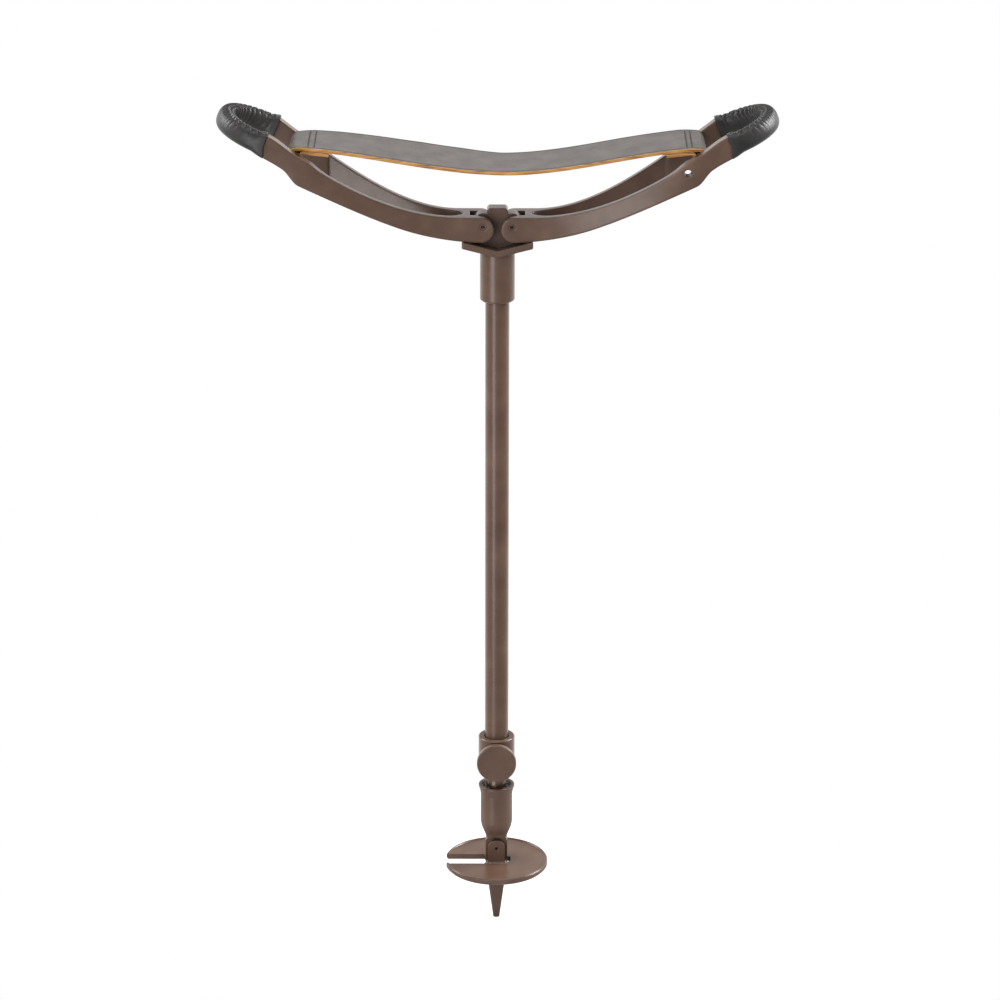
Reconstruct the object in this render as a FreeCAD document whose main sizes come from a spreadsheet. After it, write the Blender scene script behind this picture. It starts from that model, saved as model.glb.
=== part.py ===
import FreeCAD, Part
import math
import os
import Sketcher

# Walking stick seat: a telescopic stick with a hinged ground disc and a spike at its foot,
# and two stirrup-shaped frames at its head that open out to carry a leather seat strap.
# Millimetres, +Z up. The origin is on the stick's axis, at the ground under the disc.
# The frames open along X. Front is -Y, where the clamp knob is.

Vector = FreeCAD.Vector

doc = FreeCAD.newDocument("WalkingStickSeat")
sheet = doc.addObject("Spreadsheet::Sheet", "Sizes")

SIZES = [
    ("disc_diameter", 98, "ground disc"),
    ("disc_thickness", 5, "ground disc"),
    ("rim_bead_width", 2.6, "raised bead round the disc's top edge"),
    ("rim_bead_height", 0.9, "raised bead round the disc's top edge"),
    ("rim_radius", 1.6, "rounding of the disc's lower edge"),
    ("disc_slot_width", 20.4, "open slot from the rim, which passes over the spike"),
    ("disc_slot_inner", 11.6, "distance from the axis at which the slot narrows to the tongue"),
    ("disc_hole_reach", 13.5, "how far the hole runs past the axis"),
    ("disc_ear_width", 16.4, "ears that carry the disc on its pin"),
    ("disc_ear_thickness", 4, "ears that carry the disc on its pin"),
    ("disc_ear_foot_bevel", 1.8, "bevel between an ear and the disc"),
    ("foot_side_clearance", 0.3, "gap beside the tongue"),
    ("foot_pin_height", 20.4, "pin axis above the ground"),
    ("foot_pin_diameter", 5, "spring pin of the disc"),
    ("foot_pin_bore", 2.8, "hollow of the spring pin"),
    ("tongue_width", 20.6, "flat tongue under the ferrule"),
    ("tongue_thickness", 11, "flat tongue under the ferrule"),
    ("tongue_drop", 13, "tongue's lower end below the pin"),
    ("swing_recess_radius", 10.8, "milled recess in which the disc's ears swing"),
    ("spike_straight", 6, "part of the spike as wide as the tongue"),
    ("spike_length", 62.9, "tongue's lower end to the tip"),
    ("spike_tip_width", 5.8, "blunt tip"),
    ("spike_tip_thickness", 5.4, "blunt tip"),
    ("spike_corner", 1.6, "rounded long corners of the spike"),
    ("spigot_diameter", 6, "stud of the spike in the tongue"),
    ("spigot_length", 5, "stud of the spike in the tongue"),
    ("neck_diameter", 19, "ferrule neck"),
    ("neck_flat", 16, "distance across the milled flats of the neck"),
    ("neck_rise", 9.4, "pin axis to the foot of the cone"),
    ("cone_height", 14, "ferrule cone"),
    ("ferrule_diameter", 30.2, "ferrule body"),
    ("ferrule_body_length", 33.4, "ferrule body"),
    ("ferrule_lip_diameter", 33.7, "flared lip at the ferrule's mouth"),
    ("ferrule_lip_height", 7, "flared lip at the ferrule's mouth"),
    ("ferrule_cup_diameter", 28.4, "shallow cup in the ferrule's mouth"),
    ("ferrule_cup_depth", 2.6, "shallow cup in the ferrule's mouth"),
    ("ferrule_socket_depth", 32, "socket of the inner tube under the cup"),
    ("inner_tube_diameter", 19, "sliding lower tube"),
    ("inner_tube_wall", 1.6, "sliding lower tube"),
    ("inner_tube_length", 236, "sliding lower tube"),
    ("plug_head_length", 3, "plastic plug in the top of the inner tube"),
    ("plug_body_length", 14, "plastic plug in the top of the inner tube"),
    ("slide_clearance", 0.1, "radial gap between the inner tube and what it slides in"),
    ("shown_tube_length", 15.6, "inner tube between the ferrule and the collar as photographed"),
    ("shaft_diameter", 22, "main tube"),
    ("shaft_length", 507, "main tube"),
    ("bush_length", 30, "plastic bush in the foot of the main tube"),
    ("bush_wall", 0.6, "plastic bush in the foot of the main tube"),
    ("shaft_wall", 1.3, "main tube"),
    ("collar_diameter", 34.1, "clamp collar"),
    ("collar_height", 35, "clamp collar"),
    ("collar_floor", 4, "shoulder under the main tube"),
    ("collar_mouth_chamfer", 1.2, "countersunk mouth of the collar round the main tube"),
    ("collar_edge", 0.8, "broken outer edges of the collar"),
    ("clamp_boss_diameter", 15, "boss for the clamp screw"),
    ("clamp_boss_length", 3.4, "boss beyond the collar's wall"),
    ("clamp_screw_diameter", 8, "clamp screw"),
    ("screw_clearance", 0.05, "radial gap round the clamp screw"),
    ("clamp_pad_thickness", 2, "plastic pad between the screw and the inner tube"),
    ("knob_gap", 0.6, "knob to boss"),
    ("knob_diameter", 37, "clamp knob"),
    ("knob_thickness", 6, "clamp knob"),
    ("knob_edge", 0.8, "bevelled rims of the knob"),
    ("knob_neck_diameter", 17, "neck behind the knob"),
    ("knob_neck_length", 2.4, "neck behind the knob"),
    ("pivot_rise", 28.4, "top of the main tube to the frame hinge pins"),
    ("pin_half_spacing", 13, "hinge pin to the stick's axis"),
    ("hinge_pin_diameter", 6.2, "spring pin of a frame"),
    ("hinge_pin_bore", 3.4, "hollow of the spring pin"),
    ("hinge_pin_recess", 0.4, "pin end below the ear's face"),
    ("pin_clearance", 0.05, "radial gap where a pin turns"),
    ("sleeve_diameter", 31.7, "socket of the hub round the main tube"),
    ("sleeve_drop", 73, "hinge pins to the sleeve's lower end"),
    ("sleeve_chamfer", 1.3, "sleeve's lower edge"),
    ("web_thickness", 14, "hub web between the ears"),
    ("web_clearance", 0.3, "gap on each side of the web"),
    ("knuckle_radius", 10, "rounded shoulders of the web round the pins"),
    ("knuckle_clearance", 0.6, "gap between a knuckle and the frame's bridge"),
    ("head_half_width", 9.4, "block at the top of the hub"),
    ("head_rise", 14.8, "top of the block above the pins"),
    ("head_chamfer", 2, "corners of the block"),
    ("web_foot_half_width", 24, "web where it meets the stop plate"),
    ("stop_half_width", 32.3, "V-shaped stop plate under the frames"),
    ("stop_half_depth", 19.2, "V-shaped stop plate under the frames"),
    ("stop_thickness", 6, "V-shaped stop plate under the frames"),
    ("stop_slope", 14.5, "rise of each wing of the stop plate, degrees"),
    ("stop_gap", 0.08, "wing tip to the open frame's lower edge"),
    ("stop_corner", 1.4, "rounded corners of the stop plate"),
    ("ear_diameter", 23, "rounded end of a frame at its pin"),
    ("ear_offset", 2, "centre of the rounded end outside the pin"),
    ("ear_drop", 2.9, "centre of the rounded end below the pin"),
    ("ear_half_width", 17, "frame's half width at the hinge"),
    ("ear_length", 22, "pin to where the arms begin to spread"),
    ("bridge_start", 12, "pin to the bridge between the two arms"),
    ("bridge_thickness", 6, "bridge between the two arms"),
    ("waist_reach", 75, "pin to the middle of an arm's lower edge"),
    ("waist_rise", 0.6, "its height above the pin"),
    ("waist_slope", 23, "its slope, degrees"),
    ("arm_wall", 7, "thickness of an arm"),
    ("arm_reach", 148.5, "pin to the outer end of an arm's lower band"),
    ("arm_rise", 47.9, "its height above the pin"),
    ("arm_slope", 30, "its slope, degrees"),
    ("arm_depth", 19.4, "its depth"),
    ("arm_top_slope", 34, "slope of an arm's upper edge there, degrees"),
    ("arm_under_slope", 26.5, "slope of its lower edge there, degrees"),
    ("step_length", 12, "overlap of the lower band and the handle band"),
    ("handle_reach", 168.7, "pin to the inner end of the handle band"),
    ("handle_rise", 64.2, "its height above the pin"),
    ("handle_slope", 31.4, "its slope, degrees"),
    ("handle_depth", 16.8, "its depth"),
    ("step_slope", 24, "slope at the top of the step from the arm up to the handle, degrees"),
    ("throat_slope", 37, "slope at the foot of the handle's lower edge, degrees"),
    ("grip_rise", 82.2, "height of the centre of the handle's bow above the pin"),
    ("grip_slope", 23, "slope of the bow, degrees"),
    ("grip_depth", 15.6, "handle's depth under the leather"),
    ("grip_leg", 12, "straight length of the handle's section before the bow"),
    ("grip_bevel", 5, "bevelled corners of the handle under the leather"),
    ("grip_skew", 5.5, "turn of the shoulder where the leather starts, degrees"),
    ("spread_end", 169, "pin to where the arms have spread to the full width"),
    ("handle_half_width", 43.5, "half width of the handle, and the radius of its bow"),
    ("handle_wall", 11, "thickness of the handle"),
    ("bow_centre", 196.4, "pin to the centre of the handle's bow"),
    ("boss_start", 140, "pin to the thick part that holds the strap bar"),
    ("bar_reach", 166.5, "pin to the strap bar"),
    ("bar_rise", 69.4, "pin to the strap bar"),
    ("bar_diameter", 7.6, "strap bar"),
    ("bar_socket", 5, "depth of the strap bar's sockets"),
    ("cord_hole_diameter", 6.3, "hole for a carrying cord"),
    ("cord_hole_reach", 156.5, "pin to the hole"),
    ("cord_hole_rise", 57.2, "pin to the hole"),
    ("leather_thickness", 1.7, "grip leather"),
    ("leather_gap", 0.1, "leather to the metal under it"),
    ("leather_start", 191, "pin to the end of the grip leather"),
    ("lacing_diameter", 1.3, "lacing thread"),
    ("lacing_stitches", 16, "stitches round each bow"),
    ("strap_width", 62, "seat strap"),
    ("strap_thickness", 3.3, "seat strap"),
    ("strap_end_thickness", 3.4, "skived end that is turned back and sewn"),
    ("strap_lap", 29, "length of the turned-back end"),
    ("strap_gap", 0.4, "strap loop to its bar"),
    ("strap_dip", 21.4, "seat surface below the top of the strap loops, at its middle"),
    ("strap_dip_offset", 8, "lowest point of the seat, right of the axis"),
    ("strap_crest", 6, "strap bar to where the band begins to sag"),
    ("strap_end_slope", 4, "slope of the band there, degrees"),
    ("strap_bond", 0.2, "how far the sewn end sinks into the band above it"),
]

for row, (alias, number, note) in enumerate(SIZES, start=1):
    sheet.set(f"A{row}", alias)
    sheet.set(f"B{row}", str(number))
    sheet.setAlias(f"B{row}", alias)
    sheet.set(f"C{row}", note)
doc.recompute()


def size(expression):
    """The value of a sheet expression, in millimetres or degrees."""
    return float(sheet.evalExpression(expression))


# Heights above the ground, each built up from the sizes below it.
TONGUE_END = "(Sizes.foot_pin_height - Sizes.tongue_drop)"
CONE_FOOT = "(Sizes.foot_pin_height + Sizes.neck_rise)"
BODY_FOOT = f"({CONE_FOOT} + Sizes.cone_height)"
LIP_FOOT = f"({BODY_FOOT} + Sizes.ferrule_body_length)"
FERRULE_TOP = f"({LIP_FOOT} + Sizes.ferrule_lip_height)"
SOCKET_FLOOR = f"({FERRULE_TOP} - Sizes.ferrule_cup_depth - Sizes.ferrule_socket_depth)"
COLLAR_FOOT = f"({FERRULE_TOP} + Sizes.shown_tube_length)"
SHAFT_FOOT = f"({COLLAR_FOOT} + Sizes.collar_floor)"
SHAFT_TOP = f"({SHAFT_FOOT} + Sizes.shaft_length)"
KNOB_HEIGHT = f"({COLLAR_FOOT} + Sizes.collar_height / 2)"
PIVOT_HEIGHT = f"({SHAFT_TOP} + Sizes.pivot_rise)"
INNER_TUBE_TOP = f"({SOCKET_FLOOR} + Sizes.inner_tube_length)"

# Radii shared by pieces that fit each other.
INNER_TUBE_RADIUS = "(Sizes.inner_tube_diameter / 2)"
SLIDE_BORE = f"({INNER_TUBE_RADIUS} + Sizes.slide_clearance)"
SHAFT_RADIUS = "(Sizes.shaft_diameter / 2)"
SHAFT_BORE = "(Sizes.shaft_diameter / 2 - Sizes.shaft_wall)"
SCREW_BORE = "(Sizes.clamp_screw_diameter / 2 + Sizes.screw_clearance)"
BOSS_FACE = "(Sizes.collar_diameter / 2 + Sizes.clamp_boss_length)"
KNOB_BACK = f"({BOSS_FACE} + Sizes.knob_gap)"
TONGUE_FACE = "(Sizes.tongue_thickness / 2)"
DISC_EAR_INNER = f"({TONGUE_FACE} + Sizes.foot_side_clearance)"
DISC_EAR_OUTER = f"({DISC_EAR_INNER} + Sizes.disc_ear_thickness)"
WEB_SLOT = "(Sizes.web_thickness / 2 + Sizes.web_clearance)"


# Building blocks for the bodies


def new_body(label, height="0"):
    """An empty body whose origin is on the stick's axis, at the given height."""
    body = doc.addObject("PartDesign::Body", label)
    body.Label = label
    body.setExpression("Placement.Base.z", height)
    return body


def new_sketch(body, plane):
    """A sketch on one of the body's own origin planes."""
    sketch = body.newObject("Sketcher::SketchObject", body.Label + "_sketch")
    support = [o for o in body.Origin.OriginFeatures if o.Role == plane][0]
    sketch.AttachmentSupport = [(support, "")]
    sketch.MapMode = "FlatFace"
    return sketch


def bind_point(sketch, geometry, corner, x, y):
    """Ties one point of a sketch to two sheet expressions."""
    for kind, expression in (("DistanceX", x), ("DistanceY", y)):
        number = sketch.addConstraint(
            Sketcher.Constraint(kind, -1, 1, geometry, corner, size(expression))
        )
        sketch.setExpression(f"Constraints[{number}]", expression)


def add_polygon(sketch, points):
    """A closed outline of straight lines through points given as pairs of expressions."""
    first = sketch.GeometryCount
    corners = [Vector(size(x), size(y), 0) for x, y in points]
    count = len(corners)
    for i, corner in enumerate(corners):
        sketch.addGeometry(Part.LineSegment(corner, corners[(i + 1) % count]), False)
    for i in range(count):
        following = first + (i + 1) % count
        sketch.addConstraint(Sketcher.Constraint("Coincident", first + i, 2, following, 1))
    for i, (x, y) in enumerate(points):
        bind_point(sketch, first + i, 1, x, y)


def add_circle(sketch, radius, x="0", y="0"):
    """A circle with its radius and centre tied to expressions."""
    centre = Vector(size(x), size(y), 0)
    circle = sketch.addGeometry(Part.Circle(centre, Vector(0, 0, 1), size(radius)), False)
    number = sketch.addConstraint(Sketcher.Constraint("Radius", circle, size(radius)))
    sketch.setExpression(f"Constraints[{number}]", radius)
    bind_point(sketch, circle, 3, x, y)


def rectangle(x_low, x_high, y_low, y_high):
    """The corners of a rectangle, as pairs of expressions."""
    return [(x_low, y_low), (x_high, y_low), (x_high, y_high), (x_low, y_high)]


def volume_of(body):
    """The body's volume so far, or nothing before its first feature."""
    doc.recompute()
    return body.Shape.Volume if body.Shape and not body.Shape.isNull() else 0


def pad(body, sketch, length, symmetric=False):
    """Adds the sketch's outline, drawn out by the length."""
    feature = body.newObject("PartDesign::Pad", body.Label + "_pad")
    feature.Profile = sketch
    feature.setExpression("Length", length)
    feature.SideType = "Symmetric" if symmetric else "One side"
    doc.recompute()
    return feature


def pocket(body, sketch, length, symmetric=False, backwards=False):
    """Cuts the sketch's outline away, and checks that something was cut."""
    before = volume_of(body)
    feature = body.newObject("PartDesign::Pocket", body.Label + "_pocket")
    feature.Profile = sketch
    feature.setExpression("Length", length)
    feature.SideType = "Symmetric" if symmetric else "One side"
    feature.Reversed = backwards
    if volume_of(body) >= before:
        raise ValueError(f"a pocket of {body.Label} cuts nothing")
    return feature


def revolve(body, sketch):
    """Turns a half outline, drawn on the XZ plane, round the stick's axis."""
    feature = body.newObject("PartDesign::Revolution", body.Label + "_turned")
    feature.Profile = sketch
    feature.ReferenceAxis = (sketch, ["V_Axis"])
    feature.Angle = 360
    doc.recompute()
    return feature


def round_edges(body, radius, chosen, kind="Fillet"):
    """Rounds or bevels the edges for which chosen(edge) holds."""
    doc.recompute()
    base = body.Tip
    names = [f"Edge{i + 1}" for i, edge in enumerate(base.Shape.Edges) if chosen(edge)]
    feature = body.newObject("PartDesign::" + kind, f"{body.Label}_{kind.lower()}")
    feature.Base = (base, names)
    feature.setExpression("Radius" if kind == "Fillet" else "Size", radius)
    doc.recompute()
    return feature


def circle_at(height, radius):
    """Chooses circular edges of one radius at one height of the body's own frame."""

    def chosen(edge):
        curve = edge.Curve
        return (
            isinstance(curve, Part.Circle)
            and abs(curve.Radius - size(radius)) < 0.01
            and abs(edge.BoundBox.ZMax - size(height)) < 0.01
            and abs(edge.BoundBox.ZMin - size(height)) < 0.01
        )

    return chosen


def pin_body(label, diameter, bore, half_length, x, height):
    """A hollow spring pin that lies along Y."""
    body = new_body(label, height)
    body.setExpression("Placement.Base.x", x)
    sketch = new_sketch(body, "XZ_Plane")
    add_circle(sketch, f"{diameter} / 2")
    add_circle(sketch, f"{bore} / 2")
    pad(body, sketch, f"2 * ({half_length})", symmetric=True)
    return body


# Foot: ferrule, spike and the hinged ground disc


def make_ferrule():
    """A turned ferrule with a cupped mouth, a cone, and a flat tongue that carries the disc's pin."""
    body = new_body("ferrule")
    turned = new_sketch(body, "XZ_Plane")
    neck = "Sizes.neck_diameter / 2"
    outer = "Sizes.ferrule_diameter / 2"
    lip = "Sizes.ferrule_lip_diameter / 2"
    cup = "Sizes.ferrule_cup_diameter / 2"
    add_polygon(
        turned,
        [
            ("0", "Sizes.foot_pin_height"),
            (neck, "Sizes.foot_pin_height"),
            (neck, CONE_FOOT),
            (outer, BODY_FOOT),
            (outer, LIP_FOOT),
            (lip, f"{FERRULE_TOP} - Sizes.ferrule_lip_height * 0.28"),
            (lip, FERRULE_TOP),
            (cup, FERRULE_TOP),
            (f"{cup} - Sizes.ferrule_cup_depth * 0.4", f"{FERRULE_TOP} - Sizes.ferrule_cup_depth"),
            (INNER_TUBE_RADIUS, f"{FERRULE_TOP} - Sizes.ferrule_cup_depth"),
            (INNER_TUBE_RADIUS, SOCKET_FLOOR),
            ("0", SOCKET_FLOOR),
        ],
    )
    revolve(body, turned)
    round_edges(body, "Sizes.ferrule_lip_height * 0.3", circle_at(LIP_FOOT, outer), "Chamfer")
    round_edges(body, "Sizes.cone_height * 0.2", circle_at(BODY_FOOT, outer), "Chamfer")

    flats = new_sketch(body, "YZ_Plane")
    for side in ("-1", "1"):
        near = f"{side} * Sizes.neck_flat / 2"
        far = f"{side} * Sizes.ferrule_diameter"
        low, high = (far, near) if side == "-1" else (near, far)
        top = f"{CONE_FOOT} + Sizes.cone_height * 0.45"
        add_polygon(flats, rectangle(low, high, "0", top))
    pocket(body, flats, "2 * Sizes.ferrule_diameter", symmetric=True)

    recess = new_sketch(body, "XZ_Plane")
    add_circle(recess, "Sizes.swing_recess_radius", "0", "Sizes.foot_pin_height")
    pocket(body, recess, "2 * Sizes.ferrule_diameter", symmetric=True)

    tongue = new_sketch(body, "XZ_Plane")
    half = "Sizes.tongue_width / 2"
    crown = f"{CONE_FOOT} + Sizes.neck_rise * 0.1"
    add_polygon(
        tongue,
        [
            (f"-{half}", TONGUE_END),
            (half, TONGUE_END),
            (half, f"{CONE_FOOT} - Sizes.neck_rise * 0.3"),
            (f"{neck} - 1", crown),
            (f"1 - {neck}", crown),
            (f"-{half}", f"{CONE_FOOT} - Sizes.neck_rise * 0.3"),
        ],
    )
    pad(body, tongue, "Sizes.tongue_thickness", symmetric=True)

    bore = new_sketch(body, "XZ_Plane")
    add_circle(bore, "Sizes.foot_pin_diameter / 2 + Sizes.pin_clearance", "0", "Sizes.foot_pin_height")
    pocket(body, bore, "2 * Sizes.tongue_thickness", symmetric=True)

    socket = new_sketch(body, "XY_Plane")
    socket.AttachmentOffset = FreeCAD.Placement(Vector(0, 0, size(TONGUE_END)), FreeCAD.Rotation())
    socket.setExpression("AttachmentOffset.Base.z", TONGUE_END)
    add_circle(socket, "Sizes.spigot_diameter / 2")
    pocket(body, socket, "Sizes.spigot_length", backwards=True)
    return body


def spike_section(body, width, thickness, height):
    """One rounded rectangular section of the spike."""
    sketch = new_sketch(body, "XY_Plane")
    sketch.setExpression("AttachmentOffset.Base.z", height)
    corner = "Sizes.spike_corner"
    x, y = f"({width}) / 2", f"({thickness}) / 2"
    add_polygon(
        sketch,
        [
            (f"-({x})", f"{corner} - {y}"),
            (f"{corner} - {x}", f"-({y})"),
            (f"{x} - {corner}", f"-({y})"),
            (x, f"{corner} - {y}"),
            (x, f"{y} - {corner}"),
            (f"{x} - {corner}", y),
            (f"{corner} - {x}", y),
            (f"-({x})", f"{y} - {corner}"),
        ],
    )
    return sketch


def make_spike():
    """A flat tapered spike with bevelled corners and a blunt tip, on a stud in the tongue."""
    body = new_body("spike", TONGUE_END)
    top = spike_section(body, "Sizes.tongue_width", "Sizes.tongue_thickness", "0")
    shoulder = spike_section(
        body, "Sizes.tongue_width", "Sizes.tongue_thickness", "-Sizes.spike_straight"
    )
    tip = spike_section(
        body, "Sizes.spike_tip_width", "Sizes.spike_tip_thickness", "-Sizes.spike_length"
    )
    loft = body.newObject("PartDesign::AdditiveLoft", "spike_loft")
    loft.Profile = top
    loft.Sections = [shoulder, tip]
    loft.Ruled = True
    doc.recompute()
    stud = new_sketch(body, "XY_Plane")
    add_circle(stud, "Sizes.spigot_diameter / 2")
    pad(body, stud, "Sizes.spigot_length")
    return body


def make_ground_disc():
    """A slotted disc with a beaded rim and two ears that straddle the ferrule's tongue."""
    body = new_body("ground_disc")
    turned = new_sketch(body, "XZ_Plane")
    rim = "Sizes.disc_diameter / 2"
    top = "Sizes.disc_thickness"
    crest = "Sizes.disc_thickness + Sizes.rim_bead_height"
    add_polygon(
        turned,
        [
            ("0", "0"),
            (f"{rim} - Sizes.rim_radius", "0"),
            (rim, "Sizes.rim_radius"),
            (rim, top),
            (f"{rim} - Sizes.rim_bead_width * 0.3", crest),
            (f"{rim} - Sizes.rim_bead_width * 0.7", crest),
            (f"{rim} - Sizes.rim_bead_width", top),
            ("0", top),
        ],
    )
    revolve(body, turned)

    ears = new_sketch(body, "YZ_Plane")
    for side in ("-1", "1"):
        near, far = f"{side} * {DISC_EAR_INNER}", f"{side} * {DISC_EAR_OUTER}"
        low, high = (far, near) if side == "-1" else (near, far)
        add_polygon(ears, rectangle(low, high, "Sizes.disc_thickness / 2", "Sizes.foot_pin_height"))
    pad(body, ears, "Sizes.disc_ear_width", symmetric=True)

    def ear_foot(edge):
        box = edge.BoundBox
        level = abs(box.ZMax - size(top)) < 0.01 and abs(box.ZMin - size(top)) < 0.01
        outside = abs(abs(box.Center.y) - size(DISC_EAR_OUTER)) < 0.01
        side = abs(abs(box.Center.x) - size("Sizes.disc_ear_width / 2")) < 0.01
        return level and (outside or side) and box.DiagonalLength < size("Sizes.disc_diameter / 2")

    round_edges(body, "Sizes.disc_ear_foot_bevel", ear_foot, "Chamfer")

    for side in ("-1", "1"):
        crown = new_sketch(body, "XZ_Plane")
        middle = f"{side} * ({DISC_EAR_INNER} + {DISC_EAR_OUTER}) / 2"
        crown.setExpression("AttachmentOffset.Base.z", f"-({middle})")
        add_circle(crown, "Sizes.disc_ear_width / 2", "0", "Sizes.foot_pin_height")
        pad(body, crown, "Sizes.disc_ear_thickness", symmetric=True)

    slot = new_sketch(body, "XY_Plane")
    wide = "Sizes.disc_slot_width / 2"
    inner = "-Sizes.disc_slot_inner"
    reach = "Sizes.disc_hole_reach"
    add_polygon(
        slot,
        [
            ("-Sizes.disc_diameter", f"-{wide}"),
            (inner, f"-{wide}"),
            (f"{inner} + 1.5", f"-{DISC_EAR_INNER}"),
            (f"{reach} - 2", f"-{DISC_EAR_INNER}"),
            (reach, f"2 - {DISC_EAR_INNER}"),
            (reach, f"{DISC_EAR_INNER} - 2"),
            (f"{reach} - 2", DISC_EAR_INNER),
            (f"{inner} + 1.5", DISC_EAR_INNER),
            (inner, wide),
            ("-Sizes.disc_diameter", wide),
        ],
    )
    pocket(body, slot, "4 * Sizes.disc_thickness", symmetric=True)

    bore = new_sketch(body, "XZ_Plane")
    add_circle(bore, "Sizes.foot_pin_diameter / 2", "0", "Sizes.foot_pin_height")
    pocket(body, bore, "Sizes.disc_diameter", symmetric=True)
    return body


# Stick: inner tube, main tube, clamp collar, screw and knob


def tube_body(label, outer, inner, length, height):
    """A plain tube that stands on the given height."""
    body = new_body(label, height)
    sketch = new_sketch(body, "XY_Plane")
    add_circle(sketch, outer)
    add_circle(sketch, inner)
    pad(body, sketch, length)
    return body


def make_inner_tube():
    """The sliding lower tube, which stands in the ferrule's socket."""
    inner = f"{INNER_TUBE_RADIUS} - Sizes.inner_tube_wall"
    return tube_body(
        "inner_tube", INNER_TUBE_RADIUS, inner, "Sizes.inner_tube_length", SOCKET_FLOOR
    )


def make_inner_tube_plug():
    """A plastic plug that closes the top of the inner tube."""
    body = new_body("inner_tube_plug", INNER_TUBE_TOP)
    turned = new_sketch(body, "XZ_Plane")
    stem = f"{INNER_TUBE_RADIUS} - Sizes.inner_tube_wall"
    add_polygon(
        turned,
        [
            ("0", "-Sizes.plug_body_length"),
            (f"{stem} - 1", "-Sizes.plug_body_length"),
            (stem, "1 - Sizes.plug_body_length"),
            (stem, "0"),
            (INNER_TUBE_RADIUS, "0"),
            (INNER_TUBE_RADIUS, "Sizes.plug_head_length - 1"),
            (f"{INNER_TUBE_RADIUS} - 1", "Sizes.plug_head_length"),
            ("0", "Sizes.plug_head_length"),
        ],
    )
    revolve(body, turned)
    return body


def make_shaft_tube():
    """The main tube, with a hole in its front wall for the clamp screw."""
    body = tube_body("shaft_tube", SHAFT_RADIUS, SHAFT_BORE, "Sizes.shaft_length", SHAFT_FOOT)
    hole = new_sketch(body, "XZ_Plane")
    add_circle(hole, SCREW_BORE, "0", f"{KNOB_HEIGHT} - {SHAFT_FOOT}")
    pocket(body, hole, "Sizes.shaft_diameter", backwards=True)
    return body


def make_shaft_bush():
    """A thin plastic bush in the foot of the main tube, in which the inner tube slides."""
    body = tube_body("shaft_bush", SHAFT_BORE, SLIDE_BORE, "Sizes.bush_length", SHAFT_FOOT)
    hole = new_sketch(body, "XZ_Plane")
    add_circle(hole, SCREW_BORE, "0", f"{KNOB_HEIGHT} - {SHAFT_FOOT}")
    pocket(body, hole, "Sizes.shaft_diameter", backwards=True)
    return body


def make_clamp_collar():
    """A collar on the foot of the main tube, with a boss at the front for the clamp screw."""
    body = new_body("clamp_collar", COLLAR_FOOT)
    turned = new_sketch(body, "XZ_Plane")
    outer = "Sizes.collar_diameter / 2"
    edge = "Sizes.collar_edge"
    mouth = "Sizes.collar_mouth_chamfer"
    add_polygon(
        turned,
        [
            (SLIDE_BORE, "0"),
            (f"{outer} - {edge}", "0"),
            (outer, edge),
            (outer, f"Sizes.collar_height - {edge}"),
            (f"{outer} - {edge}", "Sizes.collar_height"),
            (f"{SHAFT_RADIUS} + {mouth}", "Sizes.collar_height"),
            (SHAFT_RADIUS, f"Sizes.collar_height - {mouth}"),
            (SHAFT_RADIUS, "Sizes.collar_floor"),
            (SLIDE_BORE, "Sizes.collar_floor"),
        ],
    )
    revolve(body, turned)
    boss = new_sketch(body, "XZ_Plane")
    boss.setExpression("AttachmentOffset.Base.z", "Sizes.shaft_diameter / 2 + 2")
    add_circle(boss, "Sizes.clamp_boss_diameter / 2", "0", "Sizes.collar_height / 2")
    pad(body, boss, f"{BOSS_FACE} - Sizes.shaft_diameter / 2 - 2")
    hole = new_sketch(body, "XZ_Plane")
    add_circle(hole, SCREW_BORE, "0", "Sizes.collar_height / 2")
    pocket(body, hole, "Sizes.collar_diameter", backwards=True)
    return body


def front_cylinder(label, radius, near, far):
    """A round piece along Y in front of the stick, between two distances from the axis."""
    body = new_body(label, KNOB_HEIGHT)
    sketch = new_sketch(body, "XZ_Plane")
    sketch.setExpression("AttachmentOffset.Base.z", near)
    add_circle(sketch, radius)
    pad(body, sketch, f"{far} - ({near})")
    return body


def make_clamp_pad():
    """A small plastic pad that the screw presses on the inner tube, hollowed to its curve."""
    body = front_cylinder(
        "clamp_pad",
        "Sizes.clamp_screw_diameter / 2",
        f"{SLIDE_BORE} - Sizes.clamp_pad_thickness",
        f"{SLIDE_BORE} + Sizes.clamp_pad_thickness",
    )
    saddle = new_sketch(body, "XY_Plane")
    add_circle(saddle, SLIDE_BORE)
    pocket(body, saddle, "2 * Sizes.clamp_screw_diameter", symmetric=True)
    return body


def make_clamp_screw():
    """The clamp screw, from the pad to the middle of the knob."""
    return front_cylinder(
        "clamp_screw",
        "Sizes.clamp_screw_diameter / 2",
        f"{SLIDE_BORE} + Sizes.clamp_pad_thickness",
        f"{KNOB_BACK} + Sizes.knob_neck_length + Sizes.knob_thickness / 2",
    )


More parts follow.
